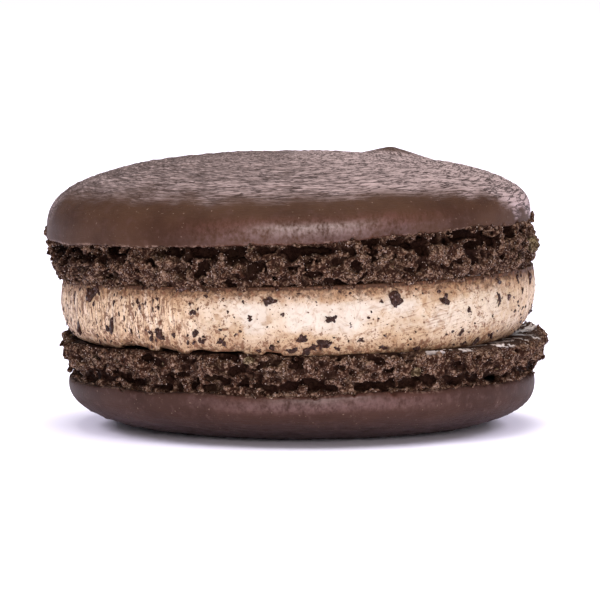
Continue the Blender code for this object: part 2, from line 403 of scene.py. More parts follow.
def surface_net(field: Array) -> tuple[Array, Array, Array]:
    """Finds the surface where a field is 0, on a grid that closes round its first axis.

    Args:
        field: values on the grid, below 0 inside the body.

    Returns:
        (n, 3) points in grid steps, (m, 4) faces, and for each cell the number of its point or -1.
    """
    closed = np.concatenate([field, field[:1]])
    inside = closed < 0
    cell_shape = tuple(size - 1 for size in closed.shape)
    corners = list(itertools.product((0, 1), repeat=3))

    def corner_view(values: Array, corner: tuple[int, ...]) -> Array:
        """The values at one corner of every cell."""
        return values[tuple(slice(c, c + size) for c, size in zip(corner, cell_shape))]

    count = sum(corner_view(inside, corner).astype(np.int8) for corner in corners)
    active = (count > 0) & (count < 8)
    cells = np.argwhere(active)
    number = np.full(cell_shape, -1, np.int64)
    number[active] = np.arange(len(cells))
    values = {corner: corner_view(closed, corner)[active] for corner in corners}
    total = np.zeros((len(cells), 3))
    crossings = np.zeros(len(cells))
    for corner, axis in itertools.product(corners, range(3)):
        if corner[axis]:
            continue
        other = tuple(1 if k == axis else c for k, c in enumerate(corner))
        low, high = values[corner], values[other]
        crosses = (low < 0) != (high < 0)
        part = np.where(crosses, low / np.where(crosses, low - high, 1.0), 0.0)
        for k in range(3):
            total[:, k] += crosses * (corner[k] + (part if k == axis else 0.0))
        crossings += crosses
    points = cells + total / crossings[:, None]
    return points, net_faces(inside, number), number


def net_faces(inside: Array, number: Array) -> Array:
    """Faces of a surface net: one round each step of the grid that crosses the surface.

    Args:
        inside: which places of the grid lie inside, with the first layer repeated at the end.
        number: for each cell the number of its point or -1.

    Returns:
        (m, 4) faces.
    """
    turns = number.shape[0]
    faces = []
    for axis in range(3):
        low = [slice(None)] * 3
        high = [slice(None)] * 3
        low[axis] = slice(0, -1)
        high[axis] = slice(1, None)
        crossing = inside[tuple(low)] != inside[tuple(high)]
        if axis:
            crossing = crossing[:turns]
        places = np.argwhere(crossing)
        for other in (1, 2):
            if other != axis:
                places = places[(places[:, other] > 0) & (places[:, other] < inside.shape[other] - 1)]
        second, third = (axis + 1) % 3, (axis + 2) % 3
        around = []
        for back in ((1, 1), (0, 1), (0, 0), (1, 0)):
            cell = places.copy()
            cell[:, second] -= back[0]
            cell[:, third] -= back[1]
            cell[:, 0] %= turns
            around.append(number[tuple(cell.T)])
        quads = np.stack(around, 1)
        outward = inside[tuple(places.T)]
        faces.append(np.where(outward[:, None], quads, quads[:, ::-1]))
    return np.concatenate(faces)


# ---- Pieces ----


@dataclass
class Piece:
    """One piece of the visual model, with the name of the solid that it belongs to and the seed of its
    random values.
    """

    STANDS_IN = False  # whether it replaces the solid that has its slot's name
    FACETED = False  # whether it is shaded flat
    TRIANGLES = 200000  # the most that it may keep

    name: str
    slot: str
    seed: int

    def grain(self, points: Array, length: Lengths, pattern: int = 0) -> Array:
        """Fine noise at (..., 3) places, in one of the piece's own patterns."""
        return grain_noise(points, length, self.seed + pattern)

    def mesh(self) -> Mesh:
        """The piece's mesh in millimetres, with the values that its material reads."""
        raise NotImplementedError

    def build(self, material: Material) -> Object:
        """Makes the piece, dresses it, hangs it on the body, and hides the solid that it stands in for.

        Args:
            material: its finish.

        Returns:
            The object.
        """
        piece = make_piece(self.name, *self.mesh())
        thin_out(piece, self.TRIANGLES)
        if self.FACETED:
            piece.data.shade_flat()
        piece.data.materials.append(material)
        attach(piece, BODY)
        if self.STANDS_IN:
            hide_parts(self.slot)
        LOG.info("%s: %d triangles", piece.name, triangle_count(piece))
        return piece


# ---- Materials ----


class Socket:
    """A value that changes over a surface; Python's operators add Math nodes to it."""

    def __init__(self, nodes: Nodes, output: bpy.types.NodeSocket) -> None:
        """Wraps a node's output."""
        self.nodes = nodes
        self.output = output

    def math(self, operation: str, *values: Number) -> Socket:
        """Adds a Math node that works on these values."""
        return self.nodes.add("ShaderNodeMath", {"operation": operation}, dict(enumerate(values)))

    def __add__(self, other: Number) -> Socket:
        """This value and another."""
        return self.math("ADD", self, other)

    __radd__ = __add__

    def __sub__(self, other: Number) -> Socket:
        """This value less another."""
        return self.math("SUBTRACT", self, other)

    def __rsub__(self, other: Number) -> Socket:
        """Another value less this one."""
        return self.math("SUBTRACT", other, self)

    def __mul__(self, other: Number) -> Socket:
        """This value times another."""
        return self.math("MULTIPLY", self, other)

    __rmul__ = __mul__

    def __abs__(self) -> Socket:
        """This value without its sign."""
        return self.math("ABSOLUTE", self)

    def between(self, low: float, high: float) -> Socket:
        """Rises from 0 at low to 1 at high, with soft ends.

        Args:
            low: value that gives 0.
            high: value that gives 1.

        Returns:
            The share.
        """
        values = {"Value": self, "From Min": low, "From Max": high}
        return self.nodes.add("ShaderNodeMapRange", {"interpolation_type": "SMOOTHSTEP"}, values)

    def vein(self, low: float, high: float) -> Socket:
        """1 where a noise is within low of its middle, 0 where it is further than high from it."""
        return 1 - abs(self - 0.5).between(low, high)


class Nodes:
    """The node tree of one material, which every finish fills in."""

    MIX_FIRST = 6  # the Mix node's colour inputs and output
    MIX_SECOND = 7
    MIX_RESULT = 2

    def __init__(self, name: str) -> None:
        """Makes an empty material.

        Args:
            name: its name.
        """
        self.material = bpy.data.materials.new(name)
        self.material.use_nodes = True
        self.tree = self.material.node_tree
        self.tree.nodes.clear()

    def add(
        self,
        kind: str,
        settings: Mapping[str, object] | None = None,
        inputs: Mapping[str | int, object] | None = None,
        output: str | int = 0,
    ) -> Socket:
        """Adds one node.

        Args:
            kind: the node's type.
            settings: its own settings, set before its sockets.
            inputs: values or links of its sockets, by name or number.
            output: the output to give back.

        Returns:
            That output.
        """
        node = self.tree.nodes.new(kind)
        for name, value in (settings or {}).items():
            setattr(node, name, value)
        for name, value in (inputs or {}).items():
            if isinstance(value, Socket):
                self.tree.links.new(value.output, node.inputs[name])
            else:
                node.inputs[name].default_value = value
        return Socket(self, node.outputs[output] if node.outputs else None)

    def place(self, stretch: Sequence[float] = (1.0, 1.0, 1.0)) -> Socket:
        """The surface's own coordinates in millimetres, stretched along the axes."""
        values = {0: self.add("ShaderNodeTexCoord", output="Object"), 1: [share / MM for share in stretch]}
        return self.add("ShaderNodeVectorMath", {"operation": "MULTIPLY"}, values)

    def grain(
        self,
        length: float,
        detail: float = 2.0,
        stretch: Sequence[float] = (1, 1, 1),
        where: Socket | None = None,
        distortion: float = 0.0,
    ) -> Socket:
        """Noise from 0 to 1.

        Args:
            length: size of its grain in millimetres.
            detail: how many finer layers it has.
            stretch: factors along the axes, below 1 for a grain that is longer there.
            where: places in millimetres, if not the surface's own.
            distortion: how far it is folded over itself, as if stirred.

        Returns:
            The noise.
        """
        values = {"Scale": 1 / length, "Detail": detail, "Roughness": 0.6, "Distortion": distortion}
        values["Vector"] = where or self.place(stretch)
        return self.add("ShaderNodeTexNoise", {"noise_dimensions": "3D"}, values)

    def crumbs(self, length: float) -> tuple[Socket, Socket]:
        """A surface broken into crumbs.

        Args:
            length: size of a crumb in millimetres.

        Returns:
            Height from 0 between crumbs to 1 on them, and a tone that each crumb has to itself.
        """
        noise_values = {"Vector": self.place(), "Scale": 1 / (length * 0.8), "Detail": 1.0}
        colour = self.add("ShaderNodeTexNoise", {"noise_dimensions": "3D"}, noise_values, "Color")
        shift = {0: colour, 1: [length * 0.8] * 3, 2: self.place()}
        shifted = self.add("ShaderNodeVectorMath", {"operation": "MULTIPLY_ADD"}, shift)
        values = {"Vector": shifted, "Scale": 1 / length}
        distance = self.add("ShaderNodeTexVoronoi", {}, values, "Distance")
        tone = self.add("ShaderNodeTexVoronoi", {}, values, "Color")
        return 1 - distance, tone

    def share(self, name: str) -> Socket:
        """A value that the mesh carries."""
        return self.add("ShaderNodeAttribute", {"attribute_name": name}, output="Fac")

    def turned(self) -> Socket:
        """Places that the mesh carries, in which a pattern is drawn out round the axis."""
        parts = {axis: self.share(f"turn_{axis.lower()}") * DRAWN_OUT[k] for k, axis in enumerate("XYZ")}
        return self.add("ShaderNodeCombineXYZ", {}, parts)

    def blend(self, mask: Number, first: Colour | Socket, second: Colour | Socket) -> Socket:
        """Mixes two colours.

        Args:
            mask: 0 for the first, 1 for the second.
            first: a colour.
            second: another.

        Returns:
            The mixed colour.
        """
        colours = [c if isinstance(c, Socket) else (*c, 1.0) for c in (first, second)]
        values = {0: mask, self.MIX_FIRST: colours[0], self.MIX_SECOND: colours[1]}
        settings = {"data_type": "RGBA", "clamp_factor": True}
        return self.add("ShaderNodeMix", settings, values, self.MIX_RESULT)

    def layered(self, base: Colour, layers: Sequence[tuple[Number, Colour | Socket]]) -> Socket:
        """Lays colours over a base, one after the other.

        Args:
            base: the lowest colour.
            layers: the mask of each, 1 where it covers what lies below it, and its colour.

        Returns:
            What shows of them all.
        """
        for mask, colour in layers:
            base = self.blend(mask, base, colour)
        return base

    def bump(self, height: Socket, depth: float) -> Socket:
        """Turns a height into a normal.

        Args:
            height: the height, 0 to 1.
            depth: what 1 stands for, in millimetres.

        Returns:
            The normal.
        """
        return self.add("ShaderNodeBump", {}, {"Height": height, "Distance": depth * MM, "Strength": 1.0})

    def surface(self, inputs: Mapping[str, object]) -> Material:
        """Ends the tree in a Principled shader.

        Args:
            inputs: values or links of the shader's sockets.

        Returns:
            The finished material.
        """
        shader = self.add("ShaderNodeBsdfPrincipled", {}, inputs)
        self.add("ShaderNodeOutputMaterial", {}, {"Surface": shader})
        return self.material


@dataclass(frozen=True)
class BakedSkin:
    """The skin of a cocoa cookie: dusty and finely creased on the dome, satin brown down its side. The
    dome's dust is painted paler to stand in for its grazing sheen, paler still to the right where more light
    falls, with painted shade in its creases; a tint under the satin coat paints its highlight reddish.
    """

    name: str = "baked_skin"
    brown: Colour = (0.068, 0.032, 0.0175)
    deep: Colour = (0.046, 0.020, 0.011)
    mauve: Colour = (0.090, 0.046, 0.037)
    hollow: Colour = (0.130, 0.088, 0.080)
    ridge: Colour = (0.46, 0.345, 0.335)
    # painted shade in the dome's creases
    crease_shade: Colour = (0.034, 0.018, 0.016)
    speck: Colour = (0.30, 0.20, 0.15)
    # painted highlight tint: base reddened where the satin coat's highlight falls
    painted_highlight_tint: Colour = (0.080, 0.018, 0.006)
    mauve_share: float = 0.4
    painted_light_right: float = 0.013  # painted light: how much paler its dust is painted towards the right, where more light falls
    coat: float = 0.52

    def material(self) -> Material:
        """Builds the finish.

        Returns:
            The material.
        """
        nodes = Nodes(self.name)
        dust_and_painted_light = nodes.share("dust_and_painted_light")
        wall = nodes.share("wall")
        turn = nodes.share("turn_x")
        drawn = nodes.turned()
        clouds = nodes.grain(4.5, 3.0)
        mottle = nodes.grain(0.9, 3.0)
        fine = nodes.grain(0.25, 3.0, (1.0, 1.0, 0.7))
        gloss = mottle.between(0.36, 0.6) * 0.5 + fine.between(0.36, 0.62) * 0.5
        gloss = gloss * (1 - abs(turn - 0.7).between(1.7, 4.6))
        dust = nodes.grain(0.18, 4.0, where=drawn)
        # painted light: the dust is painted paler towards the right, where more light falls
        painted_right_light = (turn + turn.between(0.5, 5.0) * 13.0) * self.painted_light_right
        crust = nodes.share("high") * 0.25 + dust + (clouds - 0.5) * 0.2 + painted_right_light
        # painted shade: dark lines painted along the creases, weighted more towards the right
        valley = nodes.grain(1.1, 4.0, where=drawn).vein(0.004, 0.036)
        line = nodes.grain(0.62, 5.0, where=drawn).vein(0.008, 0.036)
        # painted light: the dusted dome is painted paler on its ridges as a stand-in for its grazing sheen,
        # darker between them
        dusted_with_painted_light = nodes.layered(self.hollow, (
            (crust.between(0.41, 0.80), self.ridge),
            (valley * (turn * 0.02 + 0.62), self.crease_shade),
            (line * (turn * 0.02 + 0.74), self.crease_shade),
        ))
        flaky = nodes.grain(0.45, 3.0).between(0.45, 0.58)
        colour = nodes.layered(self.brown, (
            (clouds.between(0.35, 0.68), self.deep),
            (mottle.between(0.5, 0.75) * self.mauve_share, self.mauve),
            (dust_and_painted_light, dusted_with_painted_light),
            (nodes.grain(0.27, 1.0).between(0.70, 0.80) * 0.5, self.speck),
            # pale flaky line along the rim: partly pale flakes, partly a painted glint on the edge
            (nodes.share("rim") * flaky * 0.75, self.speck),
            # painted highlight: reddens the base under the front and back satin coat, so that its reflection
            # reads reddish
            (wall * gloss, self.painted_highlight_tint),
        ))
        height = dust * (1 - wall * 0.85) - line * dust_and_painted_light * 0.6 + fine * wall * 0.2
        return nodes.surface({
            "Base Color": colour,
            "Roughness": 0.62 - wall * 0.1 + mottle * 0.1,
            "Normal": nodes.bump(height, 0.10),
            "Specular IOR Level": 0.1,
            "Coat Weight": wall * gloss * self.coat,
            "Coat IOR": 2.2,
            "Coat Roughness": 0.33,
            "Sheen Weight": 0.02,
            "Sheen Roughness": 0.35,
            "Sheen Tint": (1.0, 0.87, 0.92, 1.0),
        })


# painted shade: the lower cookie's skin is a darker copy, its dust painted dark and bluish as shade over the
# underside that faces the table, and its mauve mottles raised to paint a soft highlight
LOWER_BAKED_SKIN = BakedSkin(
    "lower_baked_skin", brown=(0.060, 0.029, 0.021), deep=(0.045, 0.021, 0.015),
    mauve=(0.098, 0.054, 0.046), hollow=(0.043, 0.026, 0.028), ridge=(0.088, 0.060, 0.064),
    mauve_share=0.7, painted_light_right=0.0, coat=0.38,
)


@dataclass(frozen=True)
class TornCrumb:
    """The spongy inside of the cookie, torn open at the foot, with a shiny film on its flat face. Its caves
    and the gaps between its crumbs are darkened as painted shade, its crests painted lighter as light, with
    painted glints, and the film carries painted shine streaks.
    """

    name: str = "torn_crumb"
    brown: Colour = (0.073, 0.0325, 0.0175)
    dark: Colour = (0.021, 0.0080, 0.0045)
    olive: Colour = (0.078, 0.052, 0.025)
    # painted shade deep in the foot's caves
    cave_shade: Colour = (0.0090, 0.0028, 0.0016)
    crest: Colour = (0.235, 0.152, 0.103)
    film: Colour = (0.040, 0.022, 0.016)
    sparkle: Colour = (0.60, 0.47, 0.40)
    # painted reflection streaks on the film
    painted_shine_streak: Colour = (0.82, 0.74, 0.70)

    def material(self) -> Material:
        """Builds the finish.

        Returns:
            The material.
        """
        nodes = Nodes(self.name)
        depth = nodes.share("depth")
        film = nodes.share("film")
        turn = nodes.share("turn_x")
        lumps, tone = nodes.crumbs(0.30)
        patch = nodes.grain(1.1, 4.0)
        fine = nodes.grain(0.19, 2.0)
        olive = nodes.grain(2.6, 3.0).between(0.5, 0.62) * (1 - turn.between(-2.0, 2.0) * 0.7)
        baked = nodes.blend(olive * 0.7, self.brown, self.olive)
        lit = (fine * 1.2 + tone * 0.35 + (patch - 0.5) * 0.3).between(0.76, 0.96)
        glint = nodes.grain(0.12, 1.0).between(0.63, 0.7) * patch.between(0.44, 0.58)
        glint = glint * (1 - depth.between(0.3, 0.9)) * (1 - film)
        streak = nodes.grain(1.5, 4.0)
        # painted reflection: pale streaks of shine painted on the film, more towards the right
        shine = film * (streak + turn * 0.021).between(0.57, 0.605)
        colour = nodes.layered(self.dark, (
            ((patch * 0.9 + tone * 0.5).between(0.50, 0.86), baked),
            # painted light: crests painted lighter where they catch the light
            (lit * (1 - depth.between(0.25, 1.0) * 0.85) * 0.9, self.crest),
            # painted shade: darker between the crumbs and deep in the caves
            ((1 - lumps.between(0.25, 0.5)) * 0.7, self.dark),
            (depth.between(0.15, 1.0) * 0.88, self.cave_shade),
            (glint * 0.7, self.sparkle),
            (film * 0.85, self.film),
            (shine * 0.9, self.painted_shine_streak),
        ))
        height = (lumps + fine * 0.6) * (1 - film * 0.6) + streak * film * 2.0
        return nodes.surface({
            "Base Color": colour,
            "Roughness": 0.75 - shine * 0.4,
            "Normal": nodes.bump(height, 0.14),
            "Specular IOR Level": 0.05,
            "Coat Weight": glint * 0.55 + shine,
            "Coat Roughness": 0.2,
        })


# painted light: a lighter copy of the crumb finish for the lower foot, to make up for the shade it lies in
LOWER_TORN_CRUMB_PAINTED_LIGHTER = TornCrumb(
    "lower_torn_crumb_painted_lighter", brown=(0.087, 0.0395, 0.022), dark=(0.026, 0.0102, 0.0058),
    crest=(0.27, 0.177, 0.123),
)
ALMOND_CRUMB = TornCrumb(
    "almond_crumb", brown=(0.115, 0.078, 0.040), dark=(0.042, 0.026, 0.013), olive=(0.11, 0.085, 0.036),
    crest=(0.30, 0.225, 0.14),
)


@dataclass(frozen=True)
class WhippedCream:
    """Pale whipped filling, browned and painted with a contact shadow where it touches the cookies, and
    streaked where it was dragged.
    """

    name: str = "whipped_cream"
    white: Colour = (0.67, 0.615, 0.52)
    pale: Colour = (0.68, 0.575, 0.44)
    peach: Colour = (0.53, 0.385, 0.238)
    pink: Colour = (0.73, 0.525, 0.325)
    tan: Colour = (0.35, 0.20, 0.10)
    # stain colour, also used as painted contact shadow
    stain_and_contact_shade: Colour = (0.065, 0.028, 0.013)
    strand: Colour = (0.86, 0.71, 0.54)
    fibre: Colour = (0.19, 0.090, 0.045)
    dot: Colour = (0.17, 0.075, 0.038)

    def material(self) -> Material:
        """Builds the finish.

        Returns:
            The material.
        """
        nodes = Nodes(self.name)
        share = nodes.share("share")
        upright = nodes.share("upright")
        slanted = nodes.share("slanted")
        speckled = nodes.share("speckled")
        clouds = nodes.grain(3.0, 4.0)
        low = 1 - share.between(0.05, 0.45)
        smudge = nodes.grain(1.25, 5.0, distortion=1.6)
        patch = nodes.grain(1.6, 3.0).between(0.38, 0.6)
        hair = nodes.grain(0.17, 2.0, (1.0, 1.0, 0.10))
        strand = nodes.grain(0.5, 3.0, (1.0, 1.0, 0.2)).between(0.5, 0.64)
        stroke = nodes.grain(0.45, 3.0, (1.0, 1.0, 0.17)).between(0.60, 0.67)
        curl = nodes.grain(2.2, 1.0, distortion=3.0).vein(0.0, 0.025)
        drawn = self.drawn_lines(nodes)
        reach = share + (nodes.grain(1.1, 5.0) - 0.5) * 0.5
        # partly a fat stain, partly a painted contact shadow under the overhanging cookie
        browned_and_shaded = reach.between(0.68, 0.96) * 0.9 + (1 - reach.between(0.04, 0.28)) * 0.55
        frayed = share + (nodes.grain(0.45, 4.0) - 0.5) * 0.6
        mottled = nodes.grain(0.33, 2.0).between(0.38, 0.6) * 0.6 + 0.4
        # painted shadow: a dark line painted right under the upper cookie; darker along the lowest edge,
        # partly stain, partly painted shade
        top = frayed.between(0.80, 0.94) * mottled + share.between(0.93, 0.99)
        bottom = 1 - frayed.between(0.0, 0.10)
        strewn = speckled * 0.10 + low * 0.04
        colour = nodes.layered(self.pale, (
            (clouds.between(0.38, 0.64), self.peach),
            ((1 - speckled.between(0.1, 0.6)) * 0.75, self.white),
            (low * 0.8, self.peach),
            (upright * 0.75, self.pink),
            (smudge.between(0.48, 0.68) * (speckled * 0.3 + 0.45), self.tan),
            (strand * upright * 0.8, self.strand),
            (hair.between(0.48, 0.60) * upright * (patch * 0.8 + 0.2), self.fibre),
            (stroke * upright * 0.85, self.dot),
            (curl * speckled * (1 - upright) * patch * 0.6, self.tan),
            (drawn.between(0.52, 0.7) * slanted * smudge.between(0.35, 0.6) * 0.75, self.fibre),
            (browned_and_shaded, self.tan),
            (top * 0.9 + bottom * 0.85, self.stain_and_contact_shade),
            ((nodes.grain(0.22, 2.0) + strewn).between(0.68, 0.75) * 0.85, self.dot),
            ((nodes.grain(0.6, 4.0) + strewn).between(0.66, 0.73) * 0.85, self.dot),
        ))
        height = nodes.grain(0.35, 3.0) * 0.5 + hair * upright * 0.6 + drawn * slanted * 0.5 - curl * 0.2
        return nodes.surface({
            "Base Color": colour,
            "Roughness": 0.5 + clouds * 0.15,
            "Normal": nodes.bump(height, 0.07),
            "Specular IOR Level": 0.2,
            "Subsurface Weight": 0.12,
            "Subsurface Radius": (1.0, 0.6, 0.4),
            "Subsurface Scale": 0.6 * MM,
        })

    def drawn_lines(self, nodes: Nodes) -> Socket:
        """Noise drawn out along the slanted way in which the cream was spread.

        Args:
            nodes: the finish's nodes.

        Returns:
            The noise.
        """
        where = nodes.place((0.35, 0.35, 0.0))
        slant = nodes.add("ShaderNodeCombineXYZ", {}, {"Z": nodes.share("slant") * 7.0})
        where = nodes.add("ShaderNodeVectorMath", {"operation": "ADD"}, {0: where, 1: slant})
        return nodes.grain(1.0, 2.0, where=where)


@dataclass(frozen=True)
class CookieCrumb:
    """Dark cocoa crumbs in the cream, with painted grey glints on their facets."""

    name: str = "cookie_crumb"
    dark: Colour = (0.024, 0.0095, 0.006)
    brown: Colour = (0.047, 0.020, 0.013)
    painted_glint: Colour = (0.36, 0.27, 0.26)
    painted_glint_share: float = 0.34

    def material(self) -> Material:
        """Builds the finish.

        Returns:
            The material.
        """
        nodes = Nodes(self.name)
        patch = nodes.grain(0.4, 3.0)
        fine = nodes.grain(0.22, 2.0)
        colour = nodes.layered(self.dark, (
            (patch.between(0.4, 0.62), self.brown),
            # painted highlight: grey glints painted on the crumbs
            (fine.between(0.59, 0.66) * self.painted_glint_share, self.painted_glint),
        ))
        return nodes.surface({
            "Base Color": colour,
            "Roughness": 0.5 - patch * 0.2,
            "Normal": nodes.bump(fine, 0.05),
            "Specular IOR Level": 0.15,
        })


# its third and fourth values are its painted glint colour and share
SPECK = CookieCrumb("cookie_speck", (0.060, 0.026, 0.015), (0.16, 0.080, 0.045), (0.3, 0.2, 0.15), 0.3)


@dataclass(frozen=True)
class SugarGrain:
    """Grains of sugar baked into the foot, pale and glinting."""

    name: str = "sugar_grain"
    pale: Colour = (0.48, 0.37, 0.31)
    dull: Colour = (0.22, 0.145, 0.11)

    def material(self) -> Material:
        """Builds the finish.

        Returns:
            The material.
        """
        nodes = Nodes(self.name)
        patch = nodes.grain(0.5, 2.0)
        colour = nodes.blend(patch.between(0.4, 0.6), self.pale, self.dull)
        return nodes.surface({
            "Base Color": colour,
            "Roughness": 0.2 + patch * 0.3,
            "Specular IOR Level": 0.7,
        })


@dataclass(frozen=True)
class PaleFloor:
    """A plain white table top."""

    name: str = "pale_floor"
    white: Colour = (0.90, 0.88, 0.97)
    grey: Colour = (0.88, 0.86, 0.95)

    def material(self) -> Material:
        """Builds the finish.

        Returns:
            The material.
        """
        nodes = Nodes(self.name)
        colour = nodes.blend(nodes.grain(60.0), self.white, self.grey)
        return nodes.surface({"Base Color": colour, "Roughness": 0.7, "Specular IOR Level": 0.1})


# ---- Cookies ----


class Facing(Enum):
    """Which way a cookie's dome points."""

    UP = 1
    DOWN = -1


@dataclass(frozen=True)
class CookieForm:
    """Sizes of one cookie, dome up, with its flat inner face at height 0; the solids have the same."""

    facing: Facing
    centre_x: float
    base: float
    skin_radius: float
    foot_radius: float
    foot_shift: float
    inner_radius: float
    inner_shift: float
    foot_height: float
    dome_height: float
    flat_share: float
    crown: float
    shoulder: float
    shoulder_lean: float
    peak_height: float
    skin_tilt: float
    skin_rise: float
    inner_tilt: float
    curl_height: float
    relief_seed: float
    skin_side: float = 0.6
    skin_lip: float = 0.35
    rim_wander: float = 0.25
    rim_wander_length: float = 5.0
    rise_angle: float = math.radians(-50)
    rise_spread: float = 0.4
    curl_starts: float = -1.0
    curl_full: float = 5.0
    curl_width: float = 1.6
    bulge_at: float = 0.45
    peak_at: Pair = (9.7, 7.0)
    peak_radius: float = 3.4
    peak_pointedness: float = 1.15
    peak_blunt: float = 0.45

    def rim_height(self, points: Array) -> Array:
        """Height of the skin's rim over places of the ground plan.

        Args:
            points: (..., 3) places; their height isn't used.

        Returns:
            The rim's height at each.
        """
        plan = points * PLAN
        away = (np.arctan2(plan[..., 1], plan[..., 0]) - self.rise_angle) / self.rise_spread
        tilted = math.tan(self.skin_tilt) * plan[..., 0] + self.skin_rise * np.exp(-(away**2))
        unevenness = wander(plan, self.rim_wander_length, self.relief_seed + 2)
        return self.foot_height + tilted + self.rim_wander * unevenness

    def inner_height(self, points: Array) -> Array:
        """Height of the inner face over places of the ground plan.

        Args:
            points: (..., 3) places; their height isn't used.

        Returns:
            The face's height at each.
        """
        behind = ramp(self.curl_starts, self.curl_full, -points[..., 1])
        edge = ramp(self.inner_radius - self.curl_width, self.inner_radius, off_axis(points))
        return math.tan(self.inner_tilt) * points[..., 0] - self.curl_height * behind * edge

    def dome_outline(self) -> list[Pair]:
        """The dome's outline, from its crest to the top of its upright rim.

        Returns:
            Radius and height of each of its corners.
        """
        outline = []
        for share in np.sin(np.linspace(0.0, math.pi / 2, 1500)) ** 0.9:
            fall = max((share - self.flat_share) / (1 - self.flat_share), 0.0)
            rise = max(1 - fall**self.crown, 0.0) ** (1 / self.shoulder)
            height = self.foot_height + self.skin_side + (self.dome_height - self.skin_side) * rise
            outline.append((self.skin_radius * share, height))
        return outline

    def foot_outline(self, down: Array) -> Array:
        """The foot's radius, with down 0 under the skin and 1 at the inner face.

        Args:
            down: how far down the foot.

        Returns:
            The radius.
        """
        top = self.skin_radius - self.skin_lip
        above = np.sin(math.pi / 2 * np.clip(down / self.bulge_at, 0, 1))
        below = np.clip((down - self.bulge_at) / (1 - self.bulge_at), 0, 1) ** 2
        upper_part = mix(top, self.foot_radius, above)
        return np.where(down < self.bulge_at, upper_part, mix(self.foot_radius, self.inner_radius, below))

    def placed(self, points: Array) -> Array:
        """Moves points from the cookie's own frame, dome up, to where it lies."""
        side = self.facing.value
        return points * (1.0, side, side) + (self.centre_x, 0.0, self.base)


UPPER = CookieForm(
    facing=Facing.UP, centre_x=UPPER_CENTRE_X, base=UPPER_COOKIE_UNDERSIDE, skin_radius=22.55,
    foot_radius=22.85, foot_shift=0.4, inner_radius=21.9, inner_shift=0.55, foot_height=3.95,
    dome_height=7.02, flat_share=0.0, crown=2.1, shoulder=2.8, shoulder_lean=0.0, peak_height=1.0,
    skin_tilt=math.radians(2.3), skin_rise=0.35, inner_tilt=math.radians(1.35), curl_height=0.0,
    relief_seed=3.7,
)
LOWER = CookieForm(
    facing=Facing.DOWN, centre_x=LOWER_CENTRE_X, base=LOWER_COOKIE_TOP, skin_radius=21.75,
    foot_radius=22.75, foot_shift=0.2, inner_radius=22.5, inner_shift=0.2, foot_height=3.6,
    dome_height=4.8, flat_share=0.48, crown=2.4, shoulder=2.35, shoulder_lean=0.25, peak_height=0.0,
    skin_tilt=math.radians(-0.6), skin_rise=0.0, inner_tilt=math.radians(-0.3), curl_height=0.6,
    relief_seed=9.2, bulge_at=0.8,
)


